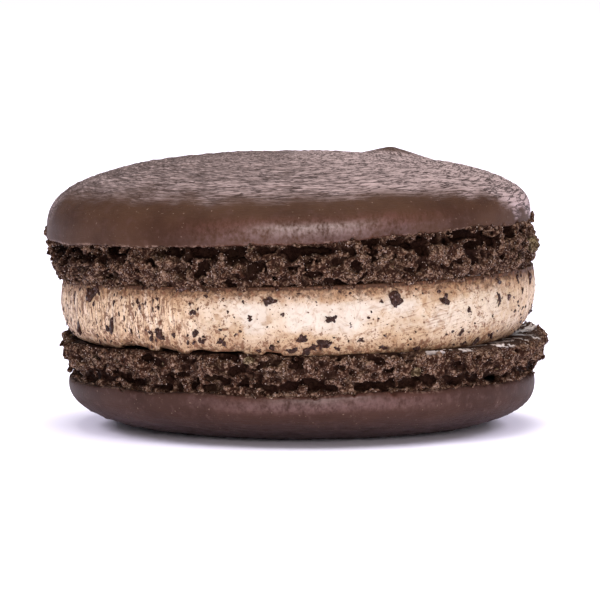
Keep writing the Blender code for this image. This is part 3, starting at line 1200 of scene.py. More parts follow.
@dataclass
class CookieSkin(Piece):
    """The smooth skin of a cookie: a fine turned dome with pebbled top, ragged rim and closed underside."""

    STANDS_IN = True

    form: CookieForm
    spacing: float = 0.18  # between rings
    segments: int = 768
    halved_inside: Pair = (11.5, 5.6)  # radii below which a ring has half the points
    pebble: float = 0.10
    pebble_length: float = 0.58
    fine_pebble: float = 0.03
    fine_length: float = 0.34
    drawn_radius: float = 7.0  # radius of the ring round which its creases are laid out
    swell: float = 0.07
    swell_length: float = 6.5
    dusted_with_painted_light: float = 1.0  # how far its dome is dusted, with painted light in the dust's colour
    dust_and_painted_light_rise: Pair = (0.47, 0.70)  # shares of its height where the dust and its painted light start and are full
    dust_and_painted_light_lean: float = 0.0  # how much lower it starts at the right
    rag: float = 0.1
    rag_reach: float = 0.55  # height above the rim where its raggedness ends
    nick: float = 0.28
    rag_width: Pair = (1.6, 0.6)  # how far inside the rim it starts and is full
    dusted_edge: Pair = (17.6, 22.2)  # places across where its right edge is dusted lower

    def lip_outline(self) -> list[Pair]:
        """The skin's lower edge, from its upright side round to its underside.

        Returns:
            Radius and height of each of its corners.
        """
        form, side = self.form, self.form.skin_side
        steps = ((0, side), (0.03, 0.35 * side), (0.10, 0.12 * side), (0.24, 0), (0.45, 0.02), (0.95, 0.10))
        return [(form.skin_radius - inside, form.foot_height + up) for inside, up in steps]

    def outline(self) -> Array:
        """The outline of the whole skin, from the crest to the underside.

        Returns:
            (n, 2) radius and height of every ring.
        """
        dome = resample(self.form.dome_outline(), self.spacing)
        lip = resample(self.lip_outline(), self.spacing * 0.7)
        under = [(radius, self.form.foot_height + 0.1) for radius in (19.0, 14.0, 8.0, 3.0)]
        return np.concatenate([dome[1:], lip[1:], under])

    def drawn(self, points: Array) -> Array:
        """Places in which a pattern is drawn out round the axis, as the skin wrinkled.

        Args:
            points: (n, 3) places.

        Returns:
            (n, 3) places: the turn as a point on a small ring, and the way down from the crest.
        """
        away = off_axis(points)
        turn = points[:, :2] / np.maximum(away, 0.01)[:, None] * self.drawn_radius
        down = away + self.form.foot_height + self.form.dome_height - points[:, 2]
        return np.concatenate([turn, down[:, None]], 1)

    def relief(self, points: Array, side: Array) -> tuple[Array, Array]:
        """How far each point of the dome stands out.

        Args:
            points: (n, 3) places.
            side: 0 on the dome, 1 at the bottom of its side.

        Returns:
            The distance along the normal, and the share from 0 in a crease to 1 on a ridge.
        """
        drawn = self.drawn(points) * DRAWN_OUT
        pebbles = self.grain(drawn, self.pebble_length)
        creases = np.abs(self.grain(drawn, self.pebble_length * 0.8, 1))
        fine = self.grain(drawn, self.fine_length, 2)
        pits = ramp(0.42, 0.75, self.grain(points, 0.7, 3))
        rough = self.pebble * (pebbles * 0.6 + creases * 0.8 - 0.2) + self.fine_pebble * fine - 0.05 * pits
        soft = self.swell * self.grain(points, self.swell_length, 4)
        high = np.clip(0.5 + rough / (1.6 * self.pebble), 0, 1)
        calm = 1 - 0.8 * ramp(0.1, 0.6, self.peak(points))
        calm = calm * ramp(0.5, 3.0, off_axis(points))
        return rough * (1 - 0.9 * side) * calm + soft, 0.5 + (high - 0.5) * calm

    def ragged(self, points: Array) -> Array:
        """How far the rim is torn upwards.

        Args:
            points: (n, 3) places.

        Returns:
            The distance at each.
        """
        plan = points * PLAN
        torn = self.grain(plan, 0.55, 5) + 0.6 * self.grain(plan, 0.26, 6)
        nicks = ramp(0.4, 0.7, self.grain(plan, 1.3, 7))
        return self.rag * torn + self.nick * nicks

    def peak(self, points: Array) -> Array:
        """Height of the tip that the piping left.

        Args:
            points: (..., 3) places; their height isn't used.

        Returns:
            Its height at each.
        """
        form = self.form
        across = points[..., 0] - form.peak_at[0]
        across = across * np.where(across > 0, 0.8, 1.1)
        away = np.sqrt(across**2 + (points[..., 1] - form.peak_at[1]) ** 2 + form.peak_blunt**2)
        return form.peak_height * np.clip(1 - away / form.peak_radius, 0, 1) ** form.peak_pointedness

    def ring_points(self) -> tuple[Array, list[Array], Array]:
        """Places, ring by ring, before any relief.

        Returns:
            (n, 3) points, the numbers of each ring's points, and each point's normal in (radius, height).
        """
        outline = self.outline()
        along = np.gradient(outline, axis=0)
        across = np.stack([-along[:, 1], along[:, 0]], 1)
        across /= np.hypot(*across.T)[:, None]
        points, rings, normals, total = [], [], [], 0
        for (radius, height), normal in zip(outline, across):
            count = self.segments
            for limit in self.halved_inside:
                count //= 2 if radius < limit else 1
            points.append(round_points(radius, even_angles(count), height))
            normals.append(np.repeat(normal[None], count, axis=0))
            rings.append(np.arange(total, total + count))
            total += count
        return np.concatenate(points), rings, np.concatenate(normals)

    def shaped(self, points: Array, normals: Array) -> tuple[Array, dict[str, Array]]:
        """Moves the turned points to the tilted rim, the peak and the relief of a baked skin.

        Args:
            points: (n, 3) places.
            normals: (n, 2) normals as radius and height.

        Returns:
            The moved points, and the values that the material reads.
        """
        form = self.form
        above = points[:, 2] - form.foot_height
        lean = form.shoulder / (form.shoulder + form.shoulder_lean * points[:, 0] / form.skin_radius)
        rise = np.clip(above / form.dome_height, 0, None) ** lean
        side = 1 - ramp(0.36, 0.66, rise)
        outward = round_points(normals[:, 0], np.arctan2(points[:, 1], points[:, 0]), normals[:, 1])
        on_dome = (above > 0.15)[:, None]
        starts, full = (form.skin_radius - width for width in self.rag_width)
        near_rim = 1 - ramp(0.0, self.rag_reach, np.abs(above))
        near_rim = near_rim * ramp(starts, full, off_axis(points))
        moved = points.copy()
        crest = form.foot_height + form.dome_height
        moved[:, 2] = mix(form.rim_height(points), crest, rise) + self.peak(points)
        relief, high = self.relief(points, side)
        moved += outward * on_dome * relief[:, None]
        moved[:, 2] += near_rim * self.ragged(points)
        return moved, {"high": high} | self.shares(points, rise)

    def shares(self, points: Array, rise: Array) -> dict[str, Array]:
        """Values that the material reads: how dusty each point is, the dust also carrying painted light, how
        satin it is, how flaky its rim is (partly a painted glint), and its turn.

        Args:
            points: (n, 3) places, before they are moved.
            rise: the share of the dome's height at each.

        Returns:
            The values by name.
        """
        drawn = self.drawn(points)
        uneven = 0.05 * self.grain(points, 2.6, 8) + 0.03 * self.grain(drawn, 0.5, 9)
        across = points[:, 0]
        edge = ramp(*self.dusted_edge, across + 0.8 * self.grain(points, 3.0, 11))
        lower = self.dust_and_painted_light_lean * (ramp(11.0, 20.0, across) + 2.4 * edge)
        lower += 2.4 * self.dust_and_painted_light_lean * ramp(-20.0, -22.4, across)
        dust_and_painted_light = self.dusted_with_painted_light * ramp(*self.dust_and_painted_light_rise, rise + uneven * (1 + 3 * edge) + lower)
        bare = ramp(0.08, 0.55, self.peak(points) + 0.1 * self.grain(points, 0.9, 12))
        wall = (1 - ramp(0.24, 0.40, rise)) * (0.5 + 0.5 * ramp(0.03, 0.16, rise))
        rim = ramp(0.22, 0.05, np.abs(points[:, 2] - self.form.foot_height))
        rim = rim * ramp(-0.2, 0.3, self.grain(points, 2.0, 10))
        values = {"dust_and_painted_light": dust_and_painted_light * (1 - 0.85 * bare), "wall": wall, "rim": rim}
        return values | {f"turn_{axis}": drawn[:, k] for k, axis in enumerate("xyz")}

    def mesh(self) -> Mesh:
        """Makes the piece's mesh.

        Returns:
            Its points, faces and values.
        """
        points, rings, normals = self.ring_points()
        crest = (0.0, 0.0, self.form.foot_height + self.form.dome_height)
        middle = (0.0, 0.0, self.form.foot_height + 0.1)
        points = np.concatenate([points, [crest, middle]])
        normals = np.concatenate([normals, [(0.0, 1.0), (0.0, -1.0)]])
        moved, shares = self.shaped(points, normals)
        faces = turned_faces(rings, len(points) - 2, len(points) - 1)
        moved = self.form.placed(moved)
        moved[:, 2] = np.maximum(moved[:, 2], 0.0)  # pressed flat where it rests
        return moved, [part[:, ::-1] for part in faces], shares


@dataclass(frozen=True)
class Bubble:
    """An ellipsoid to carve out of the foot or add to it: its middle, and half its size each way."""

    angle: float
    radius: float
    height: float
    along: float
    inward: float
    upright: float


@dataclass
class SpongyFoot(Piece):
    """The torn foot of a cookie, with its flat inner face: a fine grid out of which bubbles are carved."""

    STANDS_IN = True
    TRIANGLES = 190000

    form: CookieForm
    cell: float = 0.14
    grid_radius: float = 22.7  # where a step of the grid round the foot measures one cell
    inner_edge: float = 20.3  # radius inside which the foot is plain
    outer_edge: float = 24.3
    room_below: float = 0.45
    room_above: float = 0.65
    top_overlap: float = 0.22  # how far the foot reaches up into the skin
    edge_round: float = 0.3
    lump_length: float = 1.45
    lump_height: float = 0.95
    lump_level: float = 0.42
    hollow_length: float = 1.7
    hollow_depth: float = 0.75
    swell: float = 0.3
    swell_length: float = 5.5
    caves: int = 80  # large torn bubbles under the skin
    hollows: int = 170
    pores: int = 380
    pits: int = 700
    grains: int = 500
    rim_grains: int = 300
    lip_grains: int = 300  # along the edge of its inner face
    recess: float = 0.28  # depth of the broken groove under the skin
    recess_down: float = 0.19
    recess_spread: float = 0.10
    recess_wander: float = 0.07
    stamp_reach: float = 1.6  # how many times its half size a bubble is felt from its middle
    crumb_reach: float = 0.9  # distance from its surface within which it is crumbly
    crumb_sizes: Pair = (0.8, 0.42)
    crumb_relief: Pair = (0.34, 0.2)
    ripple: float = 0.0  # height of the ripples of the inner face
    film_turn: float = 2.0  # radius of the ring round which the film's shine is laid out
    compact: float = 0.75  # how far down the foot the bubbles get few
    inner_rings: tuple[float, ...] = (19.7, 19.0, 18.2, 12.0)

    @cached_property
    def draws(self) -> random.Random:
        """Source of the foot's random values."""
        return random.Random(self.seed)

    @cached_property
    def grid(self) -> tuple[Array, Array, Array]:
        """Lays out the grid.

        Returns:
            Angles, radii and heights of its layers.
        """
        angles = even_angles(int(round(2 * math.pi * self.grid_radius / self.cell)))
        radii = np.arange(self.inner_edge, self.outer_edge, self.cell)
        heights = np.arange(-self.room_below, self.form.foot_height + self.room_above, self.cell)
        return angles, radii, heights

    @cached_property
    def envelope(self) -> Array:
        """Radius of the foot with the lumps and hollows of the solid.

        Returns:
            (angles, heights) radii, over the grid.
        """
        form = self.form
        angles, _, heights = self.grid
        down = np.clip(1 - heights / form.foot_height, 0, 1)
        radius = form.foot_outline(down)[None, :]
        points = round_points(radius, angles[:, None], heights[None, :])
        offset = Vector((form.relief_seed,) * 3)
        places = (points / self.lump_length).reshape(-1, 3).tolist()
        nearest = np.array([noise.voronoi(Vector(place) + offset)[0][0] for place in places])
        lump = self.lump_height * (self.lump_level - nearest.reshape(points.shape[:-1]))
        torn = ramp(0.05, 0.4, wander(points, self.hollow_length, form.relief_seed))
        hollow = self.hollow_depth * torn * mix(1.0, 0.4, ramp(0.25, 0.75, down))
        swell = self.swell * wander(points, self.swell_length, form.relief_seed + 1)
        return radius + (lump - hollow) * ramp(-0.05, 0.15, down) + swell

    def stamp(self, field: Array, bubbles: Sequence[Bubble], carve: bool, blend: float) -> None:
        """Carves ellipsoids out of the field, or adds them to it.

        Args:
            field: the grid's values, changed in place.
            bubbles: the ellipsoids.
            carve: whether they are hollows.
            blend: how far their edges are rounded.
        """
        angles, radii, heights = self.grid
        turns = len(angles)
        for bubble in bubbles:
            middle = bubble.angle / (2 * math.pi) * turns
            span = int(bubble.along * self.stamp_reach / self.cell) + 2
            turn = np.arange(int(middle) - span, int(middle) + span + 1)
            ring = self.window(radii, bubble.radius, bubble.inward)
            layer = self.window(heights, bubble.height, bubble.upright)
            if len(ring) == 0 or len(layer) == 0:
                continue
            along = (turn - middle) / turns * 2 * math.pi * bubble.radius / bubble.along
            inward = (radii[ring] - bubble.radius) / bubble.inward
            upright = (heights[layer] - bubble.height) / bubble.upright
            away = np.sqrt(sum(part**2 for part in np.ix_(along, inward, upright)))
            ball = (away - 1) * min(bubble.along, bubble.inward, bubble.upright)
            cut = np.ix_(turn % turns, ring, layer)
            if carve:
                field[cut] = soft_max(field[cut], -ball, blend)
            else:
                field[cut] = -soft_max(-field[cut], -ball, blend)

    def window(self, layers: Array, middle: float, half: float) -> Array:
        """Numbers of the layers that a bubble with this middle and half size has a say in."""
        return np.nonzero(np.abs(layers - middle) < half * self.stamp_reach + self.cell)[0]

    def torn_bubbles(self) -> list[Bubble]:
        """The bubbles that the foot's sponge is torn open at: caves under the skin, pores and pits.

        Returns:
            The bubbles.
        """
        draws = self.draws
        made = []
        for count, out, *ranges in (
            (self.caves, -0.15, (0.06, 0.38), (0.4, 1.4), (0.2, 0.42), (0.5, 1.0)),
            (self.hollows, -0.1, (0.1, 0.95), (0.25, 0.75), (0.14, 0.32), (0.3, 0.65)),
        ):
            for _ in range(count):
                down, along, upright, inward = (draws.uniform(*ends) for ends in ranges)
                made.append(self.bubble_at(down, out, (along, inward, upright)))
        for _ in range(self.pores):
            down = draws.betavariate(1.3, 1.6)
            if down > self.compact and draws.random() < 0.6:
                continue
            size = draws.uniform(0.13, 0.33)
            along, inward = size * draws.uniform(1.0, 2.6), size * draws.uniform(1.0, 1.7)
            made.append(self.bubble_at(down, -0.05, (along, inward, size)))
        for _ in range(self.pits):
            down = draws.uniform(0.0, 1.0)
            size = draws.uniform(0.1, 0.2)
            along = size * draws.uniform(0.9, 1.4)
            made.append(self.bubble_at(down, 0.0, (along, size, size)))
        return made

    def surface_grains(self) -> list[Bubble]:
        """The rounded grains that stand out of the sponge, with a fringe of them along the rim.

        Returns:
            The grains.
        """
        draws = self.draws
        made = []
        for _ in range(self.grains):
            down = draws.uniform(0.02, 0.98)
            size = draws.uniform(0.12, 0.30)
            out = draws.uniform(-0.16, 0.06)
            made.append(self.bubble_at(down, out, (size, size, size)))
        for _ in range(self.rim_grains):
            size = draws.uniform(0.08, 0.18)
            angle = draws.uniform(0, 2 * math.pi)
            radius = self.form.skin_radius - draws.uniform(0.05, 0.35)
            height = self.form.foot_height - draws.uniform(-0.08, 0.25)
            made.append(Bubble(angle, radius, height, size * 1.3, size, size))
        return made

    def lip(self) -> list[Bubble]:
        """Grains that hang over the edge of the inner face.

        Returns:
            The grains.
        """
        draws = self.draws
        made = []
        for _ in range(self.lip_grains):
            size = draws.uniform(0.1, 0.28)
            radius = self.form.inner_radius - draws.uniform(-0.1, 0.35)
            height = draws.uniform(-0.12, 0.1)
            made.append(Bubble(draws.uniform(0, 2 * math.pi), radius, height, size * 1.4, size, size))
        return made

    def bubble_at(self, down: float, out: float, size: Place) -> Bubble:
        """A bubble at a random angle, on the foot's surface or this far out of it.

        Args:
            down: how far down the foot its middle lies, 0 to 1.
            out: how far out of the surface.
            size: half its length round the foot, half its depth and half its height.

        Returns:
            The bubble.
        """
        height = self.form.foot_height * (1 - down)
        angle = self.draws.uniform(0, 2 * math.pi)
        turns, layers = self.envelope.shape
        turn = int(angle / (2 * math.pi) * turns) % turns
        layer = min(max(int((height + self.room_below) / self.cell), 0), layers - 1)
        return Bubble(angle, self.envelope[turn, layer] + out, height, *size)

    def field(self) -> Array:
        """The grid's values: below 0 inside the foot.

        Returns:
            The field.
        """
        angles, radii, heights = self.grid
        body = radii[None, :, None] - self.envelope[:, None, :]
        self.stamp(body, self.torn_bubbles(), True, 0.08)
        self.stamp(body, self.surface_grains(), False, 0.06)
        points = round_points(radii[None, :, None], angles[:, None, None], heights[None, None, :])
        near = np.abs(body) < self.crumb_reach
        close = points.reshape(body.shape + (3,))[near]
        rough = np.zeros(body.shape)
        rough[near] = (
            0.06
            + 0.2 * self.grain(close, 1.1, 6)
            + self.crumb_relief[0] * (lump_noise(close, self.crumb_sizes[0], self.seed) - 0.5)
            + self.crumb_relief[1] * (lump_noise(close, self.crumb_sizes[1], self.seed + 1) - 0.5)
        )
        down = 1 - heights / self.form.foot_height
        rim = round_points(self.grid_radius, angles[:, None], heights[None, :])
        level = self.recess_down + self.recess_wander * self.grain(rim * PLAN, 2.6, 8)
        groove = np.exp(-(((down - level) / self.recess_spread) ** 2)) * self.recess
        groove = groove * ramp(-0.15, 0.4, self.grain(rim, (1.7, 1.7, 1.0), 7))
        plain = ramp(self.inner_edge + 0.3, self.inner_edge + 0.9, radii)[None, :, None]
        body = body + (rough + groove[:, None, :]) * plain
        face = self.inner_face(points[:, :, 0])[:, :, None]
        body = soft_max(body, face - heights[None, None, :], self.edge_round)
        self.stamp(body, self.lip(), False, 0.05)
        body = np.maximum(body, heights[None, None, :] - (self.form.foot_height + self.top_overlap))
        return self.joined(body)

    def joined(self, body: Array) -> Array:
        """Drops the loose bits of the field and fills its closed hollows, so that one body is left.

        Args:
            body: the grid's values.

        Returns:
            The cleaned values.
        """
        solid = body < 0
        core = np.zeros_like(solid)
        core[:, :3] = True
        rim = np.ones_like(solid)
        rim[:, :-1, 1:-1] = False
        kept = grown(core, solid)
        outside = grown(rim, ~solid)
        body = np.where(solid & ~kept, 0.5 * self.cell, body)
        return np.where(~solid & ~outside, -0.5 * self.cell, body)

    def inner_face(self, points: Array) -> Array:
        """Height of the rippled and ragged inner face, before the foot is seated.

        Args:
            points: (..., 3) places.

        Returns:
            The height.
        """
        plan = points * PLAN
        away = off_axis(plan)
        outer = ramp(self.form.inner_radius - 1.1, self.form.inner_radius, away)
        broken = 0.35 * np.abs(self.grain(plan, 1.4, 2)) + 0.08 * self.grain(plan, 0.4, 3)
        turn = np.arctan2(plan[..., 1], plan[..., 0]) * away
        polar = np.stack([away, turn, np.zeros_like(away)], -1)
        waves = self.ripple * (0.35 - np.abs(self.grain(polar, (0.5, 8.0, 1.0), 4)))
        plain = ramp(self.inner_edge, self.inner_edge + 0.3, away)
        return (broken * outer + waves) * plain

    def seated(self, points: Array) -> Array:
        """Moves points to between the tilted rim and the inner face, as the solid's are.

        Args:
            points: (n, 3) places.

        Returns:
            The moved places.
        """
        form = self.form
        down = 1 - points[:, 2] / form.foot_height
        moved = points.copy()
        moved[:, 2] = mix(form.rim_height(points), form.inner_height(points), down)
        below = ramp(form.bulge_at, 1.0, down)
        moved[:, 0] += mix(form.foot_shift, form.inner_shift, below)
        return moved

    def closed(self, points: Array, number: Array) -> tuple[Array, list[Array]]:
        """Closes the ring to a disc: rings and a pole inside its inner edge, below and above.

        Args:
            points: (n, 3) points of the net.
            number: for each cell of the grid the number of its point or -1.

        Returns:
            All the points, and the faces that close it.
        """
        faces = []
        turns = len(number)
        angles = even_angles(turns, 0.5)
        for below in (True, False):
            columns = number[:, 0, :]
            found = columns >= 0
            layer = np.argmax(found, 1) if below else found.shape[1] - 1 - np.argmax(found[:, ::-1], 1)
            rings = [columns[np.arange(turns), layer]]
            height = float(points[rings[0], 2].mean())
            for radius in self.inner_rings if below else self.inner_rings[-1:]:
                rings.append(np.arange(len(points), len(points) + turns))
                points = np.concatenate([points, round_points(radius, angles, height)])
            pole = len(points)
            points = np.concatenate([points, [(0.0, 0.0, height)]])
            made = [ring_faces(one, other) for one, other in zip(rings[:-1], rings[1:])]
            made.append(np.stack([rings[-1], np.roll(rings[-1], -1), np.full(turns, pole)], 1))
            faces += made if not below else [part[:, ::-1] for part in made]
        return points, faces

    def mesh(self) -> Mesh:
        """Makes the piece's mesh.

        Returns:
            Its points, faces and values.
        """
        angles, radii, heights = self.grid
        net, quads, number = surface_net(self.field())
        angle = net[:, 0] / len(angles) * 2 * math.pi
        radius = radii[0] + net[:, 1] * self.cell
        height = heights[0] + net[:, 2] * self.cell
        points, closing = self.closed(round_points(radius, angle, height), number)
        faces = [quads[:, ::-1], *closing]
        seated = self.form.placed(self.seated(points))
        return seated, faces, self.shares(points)

    def shares(self, points: Array) -> dict[str, Array]:
        """Values that the material reads: how deep each point lies, and how far it is on the film.

        Args:
            points: (n, 3) points, before the foot is seated.

        Returns:
            The values by name.
        """
        turns, layers = self.envelope.shape
        step = (np.arctan2(points[:, 1], points[:, 0]) / (2 * math.pi) * turns).astype(int) % turns
        layer = np.clip((points[:, 2] + self.room_below) / self.cell, 0, layers - 1).astype(int)
        away = off_axis(points)
        smooth = self.form.foot_outline(np.clip(1 - points[:, 2] / self.form.foot_height, 0, 1))
        depth = np.clip(smooth - away, 0, 2) * 0.45 + np.clip(self.envelope[step, layer] - away, 0, 2) * 0.8
        film = ramp(0.3, 0.08, points[:, 2]) * ramp(smooth - 0.15, smooth - 0.4, away)
        behind = ramp(2.0, 8.0, points[:, 1] * self.form.facing.value)
        film = film * np.maximum(ramp(8.0, 14.0, points[:, 0]), behind)
        turn = points[:, :2] / np.maximum(away, 0.01)[:, None] * self.film_turn
        values = {"depth": depth * (1 - film), "film": film}
        return values | {"turn_x": turn[:, 0], "turn_y": turn[:, 1], "turn_z": away}


# ---- Cream and crumbs ----


@dataclass
class CreamFilling(Piece):
    """The squeezed disc of cream, spread with upright fibres on the left and slanted lines on the right."""

    STANDS_IN = True

    name: str = "cream"
    slot: str = "cream_filling"
    seed: int = 11
    centre_x: float = -0.33
    radius: float = 22.1
    widest_share: float = 0.62
    top_tuck: float = 0.25
    front_tuck: float = 0.45
    side_tuck: float = 2.4
    tuck_lean: float = 0.5
    swell: float = 0.22
    swell_length: float = 6.0
    bed: float = 0.12  # how far it sinks into each cookie
    gap: float = 0.42  # how far its lower edge stays clear of the cookie in slots at the front
    slots: tuple[Pair, ...] = ((-16.3, -13.6), (-12.8, -11.0), (-10.0, -5.0), (-3.4, -1.6))
    segments: int = 1200
    rows: int = 60
    cap_rings: tuple[float, ...] = (0.94, 0.86, 0.5)
    slant_height: float = 4.6  # how far the slanted lines rise from the side to the middle
    slant_turn: float = math.radians(62)

    def radius_at(self, share: Array, angle: Array) -> Array:
        """The cream's radius at a share of its height from below and an angle about Z.

        Args:
            share: 0 at its underside, 1 at its top.
            angle: about Z, -90 degrees at the front.

        Returns:
            The radius.
        """
        above = np.clip((share - self.widest_share) / (1 - self.widest_share), 0, None)
        below = np.clip(1 - share / self.widest_share, 0, 1)
        away = 1 - np.clip(-np.sin(angle), 0, None) ** 2
        tuck = self.front_tuck + away * (self.side_tuck + self.tuck_lean * np.cos(angle))
        return self.radius - self.top_tuck * above**2 - tuck * (1 - np.sqrt(1 - below**2))

    def floor_at(self, points: Array) -> Array:
        """Height of the lower cookie's inner face.

        Args:
            points: (..., 3) places; their height isn't used.

        Returns:
            The height under each.
        """
        own = (points - (LOWER.centre_x, 0.0, 0.0)) * (1.0, -1.0, 0.0)
        inner = LOWER.inner_height(own * (0.8, 0.8, 0.0))
        return LOWER.base - inner - math.tan(LOWER.inner_tilt) * own[..., 0] * 0.2

    def ceiling_at(self, points: Array) -> Array:
        """Height of the upper cookie's inner face over places of the ground plan."""
        return UPPER.base + math.tan(UPPER.inner_tilt) * (points[..., 0] - UPPER.centre_x)

    def place(self, angle: Array, share: Array, scale: Array = 1.0) -> Array:
        """Places on the cream's side, without its fine relief.

        Args:
            angle: about Z.
            share: of its height from below.
            scale: 1 on its side, less for the faces inside it.

        Returns:
            (..., 3) places.
        """
        radius = self.radius_at(share, angle) * scale
        points = round_points(radius, angle, 0.0) + (self.centre_x, 0.0, 0.0)
        floor = self.floor_at(points) - self.bed + self.lift(points, scale)
        points[..., 2] = mix(floor, self.ceiling_at(points) + self.bed, share)
        swell = self.swell * wander(points, self.swell_length, self.seed) * scale
        outward = round_points(1.0, angle, 0.0)
        return points + outward * (swell * ramp(0.0, 0.25, share))[..., None]

    def lift(self, points: Array, scale: Array) -> Array:
        """How far the cream's lower edge is raised off the cookie, which leaves a dark line under it.

        Args:
            points: places of the ground plan.
            scale: 1 on its side, less for the faces inside it.

        Returns:
            The distance.
        """
        plan = points * PLAN
        uneven = 0.9 + 0.25 * self.grain(plan, 1.2, 9)
        open_at = np.zeros(points.shape[:-1])
        for start, end in self.slots:
            inside = np.minimum(points[..., 0] - start, end - points[..., 0])
            open_at = np.maximum(open_at, ramp(-0.05, 0.2, inside) * (points[..., 1] < 0))
        elsewhere = 0.2 * ramp(0.0, 0.4, self.grain(plan, 3.5, 10))
        return self.gap * np.maximum(open_at * uneven, elsewhere) * (np.asarray(scale) > 0.9)

    def share_of_height(self, across: float, height: float) -> float:
        """Where a height lies in the cream.

        Args:
            across: place across the front.
            height: above the ground.

        Returns:
            The share of the cream's height, from below.
        """
        point = np.array([across, -self.radius * 0.9, 0.0])
        floor, ceiling = self.floor_at(point) - self.bed, self.ceiling_at(point) + self.bed
        return float((height - floor) / (ceiling - floor))

    def uprightness(self, points: Array) -> Array:
        """How far the cream was pulled into upright fibres: at the left, and in places behind.

        Args:
            points: (..., 3) places.

        Returns:
            The share at each, from 0 to 1.
        """
        left = ramp(-7.0, -13.5, points[..., 0])
        edge = ramp(19.0, 20.6, points[..., 0])
        patches = ramp(-0.1, 0.4, self.grain(points * PLAN, 9.0, 8))
        behind = ramp(0.0, 6.0, points[..., 1])
        return np.maximum(mix(left, patches, behind), 0.7 * edge)

    def slant(self, angle: Array, points: Array) -> Array:
        """Height across the slanted lines in which the cream was spread."""
        return points[..., 2] - self.slant_height * np.sin(angle + self.slant_turn)

    def relief(self, angle: Array, points: Array) -> Array:
        """How far the fine relief stands out.

        Args:
            angle: about Z of each point.
            points: the places.

        Returns:
            The distance outwards.
        """
        upright = self.uprightness(points)
        fibres = self.grain(points, (0.5, 0.5, 3.2)) + 0.6 * self.grain(points, (0.24, 0.24, 1.4), 1)
        drawn = points * (0.3, 0.3, 0.0)
        drawn[..., 2] = self.slant(angle, points)
        lines = self.grain(drawn, 0.42, 2) + 0.5 * self.grain(drawn, 0.2, 3)
        soft = self.grain(points, 1.5, 4) + 0.4 * self.grain(points, 0.5, 5)
        holes = ramp(0.5, 0.75, self.grain(points, 0.55, 6))
        relief = 0.055 * fibres * upright + 0.05 * lines * self.slantedness(points)
        return relief + 0.055 * soft * (1 - 0.5 * upright) - 0.10 * holes

    def speckling(self, share: Array, points: Array) -> Array:
        """How thickly the cream is strewn with fine crumbs: thick near its edges and at the left.

        Args:
            share: of the height.
            points: the places.

        Returns:
            The share, from 0 to 1.
        """
        edges = ramp(0.68, 0.92, share) + ramp(0.42, 0.12, share)
        left = 0.8 * ramp(-4.5, -8.5, points[..., 0])
        right = 0.35 * ramp(9.0, 15.0, points[..., 0])
        patches = 0.35 * ramp(-0.1, 0.45, self.grain(points, 3.0, 12))
        return np.clip(0.12 + edges * 0.8 + left + right + patches, 0, 1)

    def slantedness(self, points: Array) -> Array:
        """How far the cream was spread in slanted lines: at the right, and in places behind.

        Args:
            points: (..., 3) places.

        Returns:
            The share at each, from 0 to 1.
        """
        right = ramp(3.0, 10.0, points[..., 0])
        low = 0.5 * ramp(12.2, 10.2, points[..., 2])
        return np.clip(right + low - self.uprightness(points), 0, 1)

    def mesh(self) -> Mesh:
        """Makes the piece's mesh.

        Returns:
            Its points, faces and values.
        """
        steps = np.linspace(0.0, math.pi, self.rows + 1)
        side_shares = (0.5 - 0.5 * np.cos(steps)) * 0.6 + np.linspace(0, 1, self.rows + 1) * 0.4
        rows = [(1.0, scale) for scale in reversed(self.cap_rings)]
        rows += [(share, 1.0) for share in side_shares[::-1]]
        rows += [(0.0, scale) for scale in self.cap_rings]
        share = np.repeat([row[0] for row in rows], self.segments)
        scale = np.repeat([row[1] for row in rows], self.segments)
        angle = np.tile(even_angles(self.segments), len(rows))
        points = self.place(angle, share, scale)
        on_side = (scale == 1.0)[:, None]
        points += on_side * round_points(1.0, angle, 0.0) * self.relief(angle, points)[:, None]
        middles = np.array([points[share == end].mean(axis=0) for end in (1.0, 0.0)])
        middles[:, :2] = (self.centre_x, 0.0)
        rings = [np.arange(self.segments) + k * self.segments for k in range(len(rows))]
        faces = [part[:, ::-1] for part in turned_faces(rings, len(points), len(points) + 1)]
        points = np.concatenate([points, middles])
        angle = np.concatenate([angle, [0.0, 0.0]])
        share = np.concatenate([share, [1.0, 0.0]])
        values = {
            "share": share,
            "upright": self.uprightness(points),
            "slanted": self.slantedness(points),
            "slant": self.slant(angle, points),
            "speckled": self.speckling(share, points),
        }
        return points, faces, values


@dataclass(frozen=True)
class Crumb:
    """A crumb on the cream's side: place across the front, height above the ground, and size."""

    across: float
    height: float
    wide: float
    tall: float


